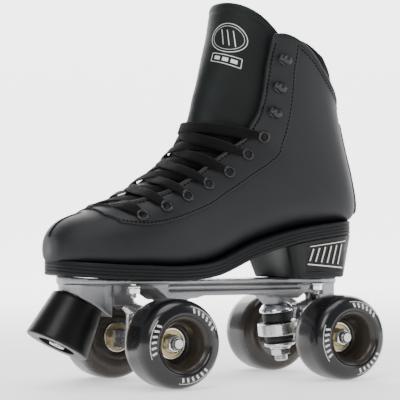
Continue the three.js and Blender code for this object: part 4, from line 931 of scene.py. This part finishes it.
def ribbon(name, points, ups, width, twist, far):
    """A flat woven strip with rounded selvedges. far is the weave's length used up before it."""
    n = len(points)
    verts, uv = [], []
    for i, p in enumerate(points):
        ahead = (points[min(i + 1, n - 1)] - points[max(i - 1, 0)]).normalized()
        side = ups[i].cross(ahead).normalized()
        up = ahead.cross(side).normalized()
        if i:
            far += (p - points[i - 1]).length
        turn = Matrix.Rotation(twist[i], 3, ahead)
        side, up = turn @ side, turn @ up
        for x, y in LACE_SECTION:
            verts.append(p + side * (x * width[i] / 2 * MM) + up * (y * LACE_THICKNESS / 2 * MM))
            uv.append((far, x * width[i] / 2 * MM))
    piece = skin(name, verts, tube(n, len(LACE_SECTION)))
    layer = piece.data.uv_layers.new(name="fabric")
    for corner in piece.data.loops:
        layer.data[corner.index].uv = uv[corner.vertex_index]
    return piece


def bend(keys, u):
    """Smooth value through (place, value) pairs."""
    for (x0, y0), (x1, y1) in zip(keys, keys[1:]):
        if u <= x1:
            s = clamp((u - x0) / (x1 - x0))
            return lerp(y0, y1, s * s * (3 - 2 * s))
    return keys[-1][1]


OVER_FACING = FACING_LIFT + 1.55
ON_TONGUE = -1.6
LACE_CLIMB = (8, 34)
LACE_STEPS = 48
last_eyelet = len(EYELETS) - 1
lace_bits = []


def taut_row(a, start, across):
    """The row where a taut pass crosses angle a: each pass lies in one plane through its two eyelets."""
    low, high = 2.6, 11.5
    for _ in range(24):
        middle = (low + high) / 2
        if (last_point(middle, a) - start).dot(across) < 0:
            low = middle
        else:
            high = middle
    return (low + high) / 2


def lace_pass(start, end, from_side, tucked, over):
    """One visible pass from the eyelet at start to the one at end across the throat."""
    (t0, a0), (t1, a1) = EYELETS[start], EYELETS[end]
    a0, a1 = a0 * from_side, -a1 * from_side
    foot, aim = on_last(t0, a0), on_last(t1, a1)
    share = ((t0 + t1) / 2 - EYELETS[0][0]) / (EYELETS[last_eyelet][0] - EYELETS[0][0])
    climb = math.radians(lerp(*LACE_CLIMB, share))
    across = (aim - foot).cross(Vector((math.cos(climb), 0, math.sin(climb)))).normalized()
    if across.z < 0:
        across = -across
    keys = [(0, FACING_LIFT - 0.2), (0.035, FACING_LIFT + 1.0), (0.09, OVER_FACING),
            (0.15 if tucked else 0.16, OVER_FACING), (0.4, ON_TONGUE + 0.2 + over)]
    if tucked:
        keys += [(0.55, ON_TONGUE + over), (0.78, -2.4), (0.9, -3.5), (1, -3.6)]
    points, ups, width, twist = [], [], [], []
    for k in range(LACE_STEPS + 1):
        u = k / LACE_STEPS
        a = lerp(a0, a1, u)
        t = taut_row(a, foot, across)
        if tucked and u > 0.8 and abs(a) > throat_at(t) + 0.16:
            break
        lift = bend(keys, u if tucked else min(u, 1 - u))
        points.append(on_last(t, a, lift))
        ups.append(last_normal(t, a))
        ends = clamp(min(u, 1 if tucked else 1 - u) / 0.1)
        width.append(LACE_WIDTH * lerp(0.52, 1, ends ** 0.7))
        twist.append(0.08 * math.sin(u * 5 + start * 1.7 + from_side) * ends)
    lace_bits.append(ribbon("lace", points, ups, width, twist, start * 0.1))


for k in range(1, last_eyelet + 1):
    first = 1 if k % 2 else -1
    lace_pass(k, k - 1, first, True, 1.15)
    lace_pass(k, k - 1, -first, True, 0.0)
lace_pass(last_eyelet, last_eyelet, 1, False, 0.0)
lace_pass(0, 0, 1, False, 2.3)
lace = joined("laces", lace_bits)
tidy(lace, 1e-8)
finish(lace, weave)

# ---------------------------------------------------------------- outsole and heel
# The sole is three layers of rubber cut to the foot, with fine grooves between them. The heel is moulded,
# with a smooth hollow front, ribbed sides between rounded corner bands, and a plain plated badge.
FOOT = [(-107.2, 0, 0), (-106.2, 8, 8), (-103, 15.5, 15.5), (-98.2, 22, 21.6), (-92, 26.8, 26),
        (-84.5, 30, 29), (-75, 31.8, 30.5), (-60, 33, 31), (-40, 34, 31), (-20, 34, 31), (0, 34.5, 31.5),
        (20, 36.5, 33), (40, 40, 36), (60, 42, 38.6), (78, 43, 41), (94, 42.5, 41), (108, 39.5, 38.5),
        (120, 35, 33.5), (129, 29.5, 27.5), (135.5, 23.5, 21.5), (139.8, 17, 15), (142, 9.5, 8.5),
        (142.6, 0, 0)]
SOLE_THICKNESS = 8.0
SOLE_MARGIN = 1.6
DECK_Z = 73.7
bottom_line = sorted((tuple(((p.x - DATUM_X) / MM, p.z / MM)) for p in
                      (last_point(k / 8 * top_at(math.pi) / TOP_ROW, math.pi) for k in range(84))))


def bottom_at(x):
    """Height of the boot's bottom along the skate, in millimetres."""
    (x0, z0), (x1, z1) = bottom_line[0], bottom_line[3]
    return z0 + (x - x0) * (z1 - z0) / (x1 - x0) if x < x0 else along(bottom_line, x)


def slope_at(x):
    return (bottom_at(x + 3) - bottom_at(x - 3)) / 6


def sole_low(x):
    return bottom_at(x) - 0.5 - SOLE_THICKNESS * math.sqrt(1 + slope_at(x) ** 2)


def foot_loop(margin, count=150):
    """An even loop of (x, y, nx, ny) round the foot, pushed out by the margin."""
    side_l = [(x, l) for x, l, _ in FOOT]
    side_r = [(x, -r) for x, _, r in FOOT][::-1]
    raw = [Vector(p) for p in side_l + side_r[1:-1]]
    fine = []
    n = len(raw)
    for i in range(n):
        p0, p1, p2, p3 = raw[i - 1], raw[i], raw[(i + 1) % n], raw[(i + 2) % n]
        for k in range(10):
            fine.append(spline(p0, p1, p2, p3, k / 10))
    lengths = [0.0]
    for p, q in zip(fine, fine[1:] + fine[:1]):
        lengths.append(lengths[-1] + (q - p).length)
    out, k = [], 0
    for i in range(count):
        want = lengths[-1] * i / count
        while lengths[k + 1] < want:
            k += 1
        u = (want - lengths[k]) / (lengths[k + 1] - lengths[k])
        out.append(fine[k % len(fine)].lerp(fine[(k + 1) % len(fine)], u))
    loop = []
    for i, p in enumerate(out):
        d = (out[(i + 1) % count] - out[i - 1]).normalized()
        nx, ny = -d.y, d.x
        if nx * (p.x - 15) + ny * p.y < 0:
            nx, ny = -nx, -ny
        loop.append((p.x + nx * margin, p.y + ny * margin, nx, ny))
    return loop


def side_wall(name, loop, levels, height):
    """A closed slab: the loop drawn at each level (share, outset), with height(x, share) giving z, and
    flat strips across its top and bottom."""
    n, m = len(loop), len(levels)
    points = []
    for share, outset in levels:
        for x, y, nx, ny in loop:
            px = x + nx * outset
            points.append(at(px, y + ny * outset, height(px, share)))
    faces = tube(m, n, caps=False)
    for base, flip in ((0, False), ((m - 1) * n, True)):
        order = sorted(range(n), key=lambda k: loop[k][0])
        first, last = order[0], order[-1]
        one = [(first + k) % n for k in range((last - first) % n + 1)]
        two = [(first - k) % n for k in range((first - last) % n + 1)]
        a, b = 0, 0
        while a < len(one) - 1 or b < len(two) - 1:
            step_a = a < len(one) - 1 and (b == len(two) - 1 or loop[one[a + 1]][0] <= loop[two[b + 1]][0])
            tri = [one[a], two[b], one[a + 1] if step_a else two[b + 1]]
            a, b = (a + 1, b) if step_a else (a, b + 1)
            if len(set(tri)) == 3:
                faces.append(tuple(base + k for k in (tri[::-1] if flip else tri)))
    piece = skin(name, points, faces)
    tidy(piece, 1e-6, sharp=50)
    return piece


rubber = worn("sole_rubber", "sole_rubber", (0.0035, 0.0038, 0.0042), (0.0085, 0.0092, 0.0100), (900, 4),
              (0.42, 0, 0.2), (0.25, 0.0001), (30, 3), (0.4, 0.6), Specular_IOR_Level=0.18)
SOLE_LEVELS = [(0.0, -1.2), (0.03, -0.35), (0.09, 0.0), (0.26, 0.0), (0.285, -0.45), (0.315, -0.45),
               (0.34, 0.0), (0.48, 0.0), (0.505, -0.45), (0.535, -0.45), (0.56, 0.0), (0.70, 0.0),
               (0.725, -0.45), (0.755, -0.45), (0.78, 0.0), (0.93, 0.0), (0.98, -0.3), (1.0, -0.9)]
sole_loop = [(x if x < 100 else lerp(100, x, 0.93), y, nx, ny) for x, y, nx, ny in foot_loop(0.7, 220)]
sole = side_wall("outsole", sole_loop, SOLE_LEVELS,
                 lambda x, share: lerp(bottom_at(x) + 1.8, sole_low(x), share))
finish(sole, rubber)

HEEL_BREAST = -36.0
HEEL_TAPER = 0.16
HEEL_SLOPE = 0.35
HEEL_GAP = 0.3
HEEL_ROWS = 60
HEEL_CORNER = 5
HEEL_SIDE = 24
HEEL_RIB = 1.55
heel_loop = foot_loop(SOLE_MARGIN - 0.8, 300)


def heel_outline():
    """The heel's outline from the front right corner round the back to the front left one."""
    start = HEEL_BREAST - HEEL_CORNER
    back = [(x, y) for x, y, _, _ in heel_loop if x < start]
    left = sorted([p for p in back if p[1] >= 0], key=lambda p: -p[0])
    right = sorted([p for p in back if p[1] < 0], key=lambda p: p[0])
    low, high = right[-1][1] + HEEL_CORNER, left[0][1] - HEEL_CORNER
    turns = [k / 6 * math.pi / 2 for k in range(7)]
    corner_l = [(start + HEEL_CORNER * math.sin(u), high + HEEL_CORNER * math.cos(u)) for u in turns[::-1]]
    corner_r = [(start + HEEL_CORNER * math.sin(u), low - HEEL_CORNER * math.cos(u)) for u in turns]
    front = [(HEEL_BREAST - 2.6 * math.cos(y / 27 * math.pi / 2) ** 2, y)
             for y in [lerp(low, high, k / 24) for k in range(1, 24)]]
    return front + corner_l + left + right + corner_r


outline = heel_outline()
heel_points = []
count = len(outline)
for i in range(HEEL_ROWS + 1):
    share = i / HEEL_ROWS
    edge = -0.8 * (clamp(1 - (1 - share) * 60 / 1.5) + clamp(1 - share * 60) * 0.5)
    for x, y in outline:
        top = sole_low(x) - HEEL_GAP
        base = DECK_Z + HEEL_GAP
        drop = (top - base) * share
        forward = clamp((x + 60) / (HEEL_BREAST + 60))
        px = x - drop * HEEL_SLOPE * forward + (drop * HEEL_TAPER * 0.75 if x < -92 else 0)
        py = y * (1 - drop * HEEL_TAPER / max(abs(y), HEEL_SIDE))
        if -96 < x < HEEL_BREAST - 9 and abs(y) > HEEL_SIDE:
            out = Vector((0, math.copysign(1, y)))
            rib = -0.22 * (math.cos((top - drop - base) * 2 * math.pi / HEEL_RIB) > 0.55)
            if -93 < x < HEEL_BREAST - 12 and 0.1 < share < 0.84:
                rib -= 0.35
        else:
            out, rib = Vector((px + 66, py)).normalized(), 0.0
        heel_points.append(at(px + out.x * (rib + edge), py + out.y * (rib + edge), top - drop))
heel_faces = tube(HEEL_ROWS + 1, count, caps=False)
for base, flip in ((0, True), (HEEL_ROWS * count, False)):
    middle = len(heel_points)
    heel_points.append(sum(heel_points[base:base + count], Vector()) / count)
    for k in range(count):
        tri = (base + k, base + (k + 1) % count, middle)
        heel_faces.append(tri if flip else tri[::-1])
heel = skin("heel_block", heel_points, heel_faces)
tidy(heel, 1e-6, sharp=32)
heel_rubber = worn("heel_rubber", "heel_rubber", (0.0040, 0.0050, 0.0050), (0.0095, 0.0115, 0.0115),
                   (1100, 4), (0.36, 0, 0.2), (0.25, 0.0001), (25, 3), Specular_IOR_Level=0.2)
finish(heel, heel_rubber)

plated = worn("plated_badge", "polished_steel", (0.36, 0.34, 0.31), (0.66, 0.63, 0.59), (1300, 4), (0.2, 0.2),
              (0.25, 0.0001), Metallic=0.9)
for side, hand in HANDS:
    def heel_place(x, y, lift):
        wide = along([(fx, l if side > 0 else r) for fx, l, r in FOOT], x) + SOLE_MARGIN - 0.8
        top = sole_low(x) - HEEL_GAP
        slim = 1 - (top - y) * HEEL_TAPER / max(wide, 24)
        return at(x, side * (wide * slim - 0.5 + lift), y)

    badge = []
    for k in range(6):
        x = -57 - 5.6 * k
        badge.append((run(x + 1.2, 86.5 - 0.5 * k, x - 1.4, 95.5 + 0.7 * k, 8), 1.15))
    badge.append((run(-54, 84.2, -90, 81.2, 30), 0.9))
    badge.append((run(-55, 97.2, -91, 101.4, 30), 0.6))
    print_strokes(f"{hand}_heel_badge", badge, heel_place, plated, 0.9)

# ---------------------------------------------------------------- plate
# One aluminium casting: a flange under the sole, a middle rail with bosses for the kingpins, housings for
# the pivot cups and a nose block for the stop. The skin is grainy, with edges tumbled bright.
AXLE_Z = 31.0
AXLE_X = 70.5


def cast_copy(node, voxel, rounds, paint, body="skate"):
    """A casting's shape from its CAD node, with its edges rounded the way a mould leaves them."""
    piece = node_copy(node)
    apply(piece, "REMESH", mode="VOXEL", voxel_size=voxel * MM, use_smooth_shade=True)
    apply(piece, "SMOOTH", factor=0.5, iterations=rounds)
    tidy(piece, 1e-7)
    return finish(piece, paint, body)


cast = worn("cast_aluminium", "cast_aluminium", (0.15, 0.15, 0.155), (0.38, 0.38, 0.39), (650, 5, 0.6),
            (0.22, 0.18, 0.12), (0.35, 0.00025), (45, 4), (0.6, 0.4), Metallic=0.95)
cast_copy("plate", 0.8, 4, cast)

# ---------------------------------------------------------------- nuts, bolts and washers
# Turned and pressed steel, zinc plated, with rolled threads. Nuts have chamfered corners.
zinc = worn("zinc_plate", "zinc_steel", (0.45, 0.44, 0.42), (0.80, 0.79, 0.76), (1200, 4), (0.18, 0.2),
            (0.2, 0.00008), (90, 3), Metallic=0.95)
bright = worn("polished_steel", "polished_steel", (0.52, 0.54, 0.58), (0.82, 0.84, 0.88), (900, 4),
              (0.08, 0.12), (0.12, 0.00005), (60, 3), Metallic=1.0)


def hexed(name, foot, aim, across, bore, height, flange=0.0, collar=0.0):
    """A nut from foot towards aim, with chamfered corners and a round flange or collar if asked for."""
    flat = across / 2
    rows = [(bore / 2, 0, False)]
    start = 0.0
    if flange:
        rows += [(flange - 0.3, 0, False), (flange, 0.3, False), (flange, 0.9, False),
                 (flange - 0.4, 1.25, False)]
        start = 1.25
    rows += [(flat * 0.96 + 1.9 * k * 0.14, start + 0.14 * k, True) for k in range(7)]
    top = height - collar
    rows += [(flat * 0.96 + 1.9 * k * 0.14, top - 0.14 * k, True) for k in range(6, -1, -1)]
    if collar:
        rows += [(flat * 0.88, top + 0.05, False), (flat * 0.86, height - 0.5, False),
                 (flat * 0.78, height, False)]
    rows += [(bore / 2, height, False)]
    steps = 96
    turn = (aim - foot).to_track_quat("Z", "Y").to_matrix().to_4x4()
    place = Matrix.Translation(foot) @ turn
    points = []
    for limit, z, cornered in rows:
        for k in range(steps):
            angle = 2 * math.pi * k / steps
            r = limit
            if cornered:
                r = min(limit, flat / math.cos((angle + math.pi / 6) % (math.pi / 3) - math.pi / 6))
            points.append(place @ (Vector((r * math.cos(angle), r * math.sin(angle), z)) * MM))
    piece = skin(name, points, tube(len(rows), steps, caps=False, around=True))
    tidy(piece, 1e-7, sharp=28)
    return piece


def spun(name, foot, aim, outline, radii, paint, body="skate", steps=72, sharp=32):
    """A turned piece with rounded corners, finished."""
    piece = turned(name, foot, aim, rounded(outline, radii, 3) if radii else outline, steps)
    tidy(piece, 1e-7, sharp=sharp)
    return finish(piece, paint, body)


UP = Vector((0, 0, 0.01))
for end, x in (("rear", -71.5), ("front", 84.0)):
    for side, hand in HANDS:
        name = f"{end}_{hand}_sole"
        top = at(x, side * 17, 69.6)
        nut = hexed(f"{name}_nut", top, top - UP, 8.0, 5.2, 5.0, flange=5.4)
        finish(nut, bright)
        tip = at(x, side * 17, 61.4)
        outline = [(0, 0), (1.9, 0)] + rolled_thread(2.5, 0.5, 8.0, 0.8) + [(2.5, 14), (0, 14)]
        spun(f"{name}_bolt", tip, tip + UP, outline, None, zinc, steps=40, sharp=25)

# ---------------------------------------------------------------- toe stop
# A tapered plug of glossy moulded rubber, held by a bolt and a washer in a round recess in its face.
stop_rubber = worn("stop_rubber", "stop_rubber", (0.0012, 0.0012, 0.0013), (0.0045, 0.0045, 0.0048), (700, 4),
                   (0.26, 0.05, 0.15), (0.2, 0.0001), (60, 3), Specular_IOR_Level=0.22)
TILT = math.radians(27.9)
STOP_START = Vector((119.1, 0, 59.0))
STOP_LINE = Vector((math.sin(TILT), 0, -math.cos(TILT)))


def on_stop(s):
    p = STOP_START + STOP_LINE * s
    return at(p.x, p.y, p.z)


stop_outline = [(3.7, 0), (18.6, 0), (19.2, 4.5), (23.3, 33.2), (22.6, 34.5), (13.5, 34.5), (13.2, 28.6),
                (3.7, 28.6)]
spun("toe_stop", on_stop(0), on_stop(10), stop_outline, [0, 1.6, 3, 0.9, 0.5, 0.5, 0.8, 0], stop_rubber,
     steps=128, sharp=40)
spun("toe_stop_washer", on_stop(28.8), on_stop(40), [(3.8, 0), (10.5, 0), (10.5, 1.7), (9.4, 1.7),
                                                     (3.8, 1.1)], [0, 0.3, 0.5, 0.3, 0], zinc)
bolt_head = hexed("toe_stop_bolt", on_stop(30.7), on_stop(40), 11.0, 5.0, 3.7, flange=6.4)
socket = turned("toe_stop_socket", on_stop(-9), on_stop(0), [(0, 0), (3.3, 0), (3.45, 0.4), (3.45, 42.2),
                                                             (0, 42.2)], 40)
finish(joined("toe_stop_bolt", [bolt_head, socket]), zinc)

# ---------------------------------------------------------------- trucks
# Each truck is a cast hanger sprung between two rubber cushions on a kingpin. Its ball end turns in a
# plastic cup in the plate, and a steel axle runs through its beam.
cushion_rubber = worn("cushion_rubber", "cushion_rubber", (0.006, 0.006, 0.0065), (0.015, 0.015, 0.016),
                      (1000, 4), (0.42, 0.2), (0.25, 0.0001), Specular_IOR_Level=0.35)
cup_plastic = worn("cup_plastic", "cup_plastic", (0.010, 0.010, 0.011), (0.022, 0.022, 0.024), (800, 3),
                   (0.4,), (0.2, 0.0001))
hanger_cast = worn("hanger_cast", "cast_aluminium", (0.46, 0.46, 0.47), (0.80, 0.80, 0.82), (700, 5, 0.6),
                   (0.14, 0.1, 0.15), (0.2, 0.00015), (70, 3), Metallic=0.95)
axle_steel = worn("axle_steel", "axle_steel", (0.50, 0.50, 0.49), (0.72, 0.72, 0.70), (900, 3), (0.2, 0.15),
                  (0.2, 0.00006), Metallic=0.95)
LEAN = math.radians(7)
RING_X, RING_Z = AXLE_X - 22, 35.7
STEER_LINE = (0.85653, 0.51609)
BALL_X, BALL_Z = 88, 59.5
# each part on the kingpin: start and aim along it, outline, corner radii, material and steps round it
KINGPIN_PARTS = (
    ("cushion_retainer", -12.3, -30, [(5.6, 0), (11.6, 0), (12.8, 0.6), (12.8, 2.6), (11.4, 4.4), (9.9, 6.2),
                                      (5.6, 6.2)], [0, 0.5, 0.5, 0.9, 1.2, 0.9, 0], bright, 96),
    ("upper_cushion", -12.1, 0, [(5.6, 0), (10.6, 0), (11.0, 1.2), (11.0, 5.6), (10.2, 7.2), (5.6, 7.2)],
     [0, 0.5, 0.9, 1.2, 0.8, 0], cushion_rubber, 72),
    ("lower_cushion", 4.8, 30, [(5.6, 0), (10.0, 0), (10.9, 1.0), (10.9, 3.8), (9.8, 5.2), (5.6, 5.2)],
     [0, 0.5, 0.8, 1.0, 0.8, 0], cushion_rubber, 72),
    ("cushion_washer", 10.3, 30, [(5.4, 0), (10.9, 0), (11.8, 0.5), (11.8, 2.2), (10.3, 3.1), (5.4, 3.1)],
     [0, 0.3, 0.4, 0.7, 0.6, 0], zinc, 72))


def on_kingpin(end, s):
    """A point on the kingpin's line, s millimetres below the middle of the hanger's ring."""
    return at(end * (RING_X + s * math.sin(LEAN)), 0, RING_Z - s * math.cos(LEAN))


for end, sign in ENDS:
    def here(s):
        return on_kingpin(sign, s)

    for part, start, aim, outline, radii, paint, steps in KINGPIN_PARTS:
        spun(f"{end}_{part}", here(start), here(aim), outline, radii, paint, steps=steps)
    nut = hexed(f"{end}_kingpin_nut", here(13.8), here(30), 14.0, 10.4, 6.0, flange=8.0)
    finish(nut, bright)
    outline = [(0, 0), (4.6, 0)] + [(5.0, 0.6), (5.0, 33.5)] + rolled_thread(5.0, 34.0, 43.8) + [(3.9, 44.4),
                                                                                                 (0, 44.4)]
    spun(f"{end}_kingpin", here(-20), here(30), outline, None, zinc, steps=48, sharp=25)

    line = Vector((sign * STEER_LINE[0], 0, STEER_LINE[1]))
    ball = Vector((sign * BALL_X, 0, BALL_Z))
    mouth, floor_side = ball - line * 4.5, ball + line * 5.3
    spun(f"{end}_pivot_cup", at(mouth.x, 0, mouth.z), at(floor_side.x, 0, floor_side.z),
         [(3.9, 0), (6.0, 0), (6.0, 9.8), (0, 9.8), (0, 8.4), (2.6, 7.2), (3.65, 4.5)],
         [0.3, 0.4, 0.4, 0, 0, 0.8, 0.8], cup_plastic, steps=48)
    cast_copy(f"{end}_hanger", 0.55, 3, hanger_cast, f"{end}_truck")

    outline = [(0, -58.7), (3.2, -58.7)] + rolled_thread(4.0, -58.0, -44.0) + [(4.0, -43.8), (4.0, 43.8)]
    outline += rolled_thread(4.0, 44.0, 58.0) + [(3.2, 58.7), (0, 58.7)]
    spun(f"{end}_axle", at(sign * AXLE_X, 0, AXLE_Z), at(sign * AXLE_X, 10, AXLE_Z), outline, None,
         axle_steel, f"{end}_truck", steps=48, sharp=25)
    for side, hand in HANDS:
        inner = at(sign * AXLE_X, side * 48.8, AXLE_Z)
        nut = hexed(f"{end}_{hand}_axle_nut", inner, at(sign * AXLE_X, side * 60, AXLE_Z), 11.0, 8.2, 8.0,
                    collar=2.4)
        finish(nut, bright, f"{end}_truck")

# ---------------------------------------------------------------- wheels
# Smoky urethane cast in one piece, glossy black outside and brown where it thins round the hub, with
# printed bars that carry no lettering. Each runs on two ball bearings with gold shields.
urethane = Finish("urethane", "wheel_urethane")
urethane_grain = urethane.noise(500, 4)
urethane_broad = urethane.noise(40, 3)
tread_y = urethane.parts(urethane.place())[1]
inner_share = ((tread_y * tread_y) * -520 + 1.15).least(0.75)
URETHANE_DARK = urethane.blend(inner_share, (0.0035, 0.0036, 0.0042), (0.030, 0.022, 0.015))
URETHANE_LIGHT = urethane.blend(inner_share, (0.0085, 0.0088, 0.0100), (0.065, 0.050, 0.036))
urethane.shade(Base_Color=urethane.blend(urethane_broad, URETHANE_DARK, URETHANE_LIGHT),
               Roughness=urethane_broad * 0.14 + urethane_grain * 0.05 + 0.16, Coat_Weight=0.25,
               Coat_Roughness=0.1, Specular_IOR_Level=0.4, Normal=urethane.bump(urethane_grain, 0.12,
                                                                                0.00008))
core_urethane = worn("core_urethane", "wheel_urethane", (0.012, 0.0095, 0.0070), (0.045, 0.036, 0.027),
                     (60, 3), (0.2, 0.12), (0.1, 0.0001), Specular_IOR_Level=0.35)
white_print = worn("white_print", "wheel_urethane", (0.42, 0.42, 0.42), (0.75, 0.75, 0.74), (1500, 4), (0.4,),
                   (0.2, 0.00005))
race_steel = worn("race_steel", "bearing_steel", (0.45, 0.43, 0.38), (0.70, 0.68, 0.62), (1200, 3),
                  (0.14, 0.12), (0.15, 0.00005), Metallic=1.0)
gold_shield = worn("gold_shield", "bearing_steel", (0.30, 0.23, 0.11), (0.60, 0.49, 0.27), (1100, 4),
                   (0.2, 0.2), (0.15, 0.00006), Metallic=0.95)
WHEEL_IN = 29.2
MARK_RADIUS = 24.0
TYRE = [(16.3, 1.75), (22, 0), (27, 1.6), (29.9, 5.4), (31, 10.7), (31, 27.8), (29.9, 33.1), (27, 36.9),
        (21.5, 38.5), (19.8, 37.4), (16.6, 30), (16.3, 20)]
CORE = [(11.3, 3.6), (11.3, 11.2), (9.4, 11.2), (9.4, 12), (11.3, 12), (11.3, 19.6), (13.2, 20.6),
        (14.2, 29.5), (17, 35.5), (19.7, 37.3), (16.9, 30), (16.8, 20), (16.8, 1.8), (14.6, 1.4)]
for end, sign in ENDS:
    for side, hand in HANDS:
        name = f"{end}_{hand}"
        body = f"{name}_roller"
        x = sign * AXLE_X
        foot, aim = at(x, side * WHEEL_IN, AXLE_Z), at(x, side * (WHEEL_IN + 40), AXLE_Z)
        spun(f"{name}_wheel", foot, aim, TYRE, [0.2, 2.5, 3, 3, 4, 4, 3, 3, 1.6, 0.8, 2, 1], urethane, body,
             steps=144, sharp=50)
        spun(f"{name}_wheel_core", foot, aim, CORE, [0.3, 0, 0, 0, 0, 0.4, 0.8, 2, 2, 0.4, 1, 0, 0.2, 0.5],
             core_urethane, body, steps=128, sharp=40)

        def face_place(across, radius, lift):
            angle = across / MARK_RADIUS
            depth = lerp(38.2, 36.9, (radius - 22.5) / 4.5)
            return at(x + radius * math.sin(angle) * side, side * (WHEEL_IN + depth + lift),
                      AXLE_Z + radius * math.cos(angle))

        marks = []
        for k in range(3):
            middle = MARK_RADIUS * (k * 2 * math.pi / 3 + 0.5 + 0.9 * sign)
            marks.append((run(middle - 12.5, 26.6, middle + 12.5, 26.6, 24), 0.4))
            marks += [(run(middle - 10.5 + 3.9 * n, 22.4, middle - 9.5 + 3.9 * n, 25.6, 5),
                       1.5) for n in range(6)]
        print_strokes(f"{name}_wheel_marks", marks, face_place, white_print, 0.08, body)

        for place_name, low in (("inner", 3.9), ("outer", 12.3)):
            base = at(x, side * (WHEEL_IN + low), AXLE_Z)
            races = [turned("race", base, aim, rounded([(9.5, 0), (11.0, 0), (11.0, 7), (9.5, 7)], [0.2] * 4,
                                                       2), 72),
                     turned("race", base, aim, rounded([(4.3, 0), (5.9, 0), (5.9, 7), (4.3, 7)], [0.2] * 4,
                                                       2), 72)]
            races = joined(f"{name}_{place_name}_bearing", races)
            tidy(races, 1e-7, sharp=35)
            finish(races, race_steel, body)
            spun(f"{name}_{place_name}_shields", base, aim, [(5.8, 0.5), (9.6, 0.35), (9.6, 6.65),
                                                             (5.8, 6.5)], [0.1] * 4, gold_shield, body)
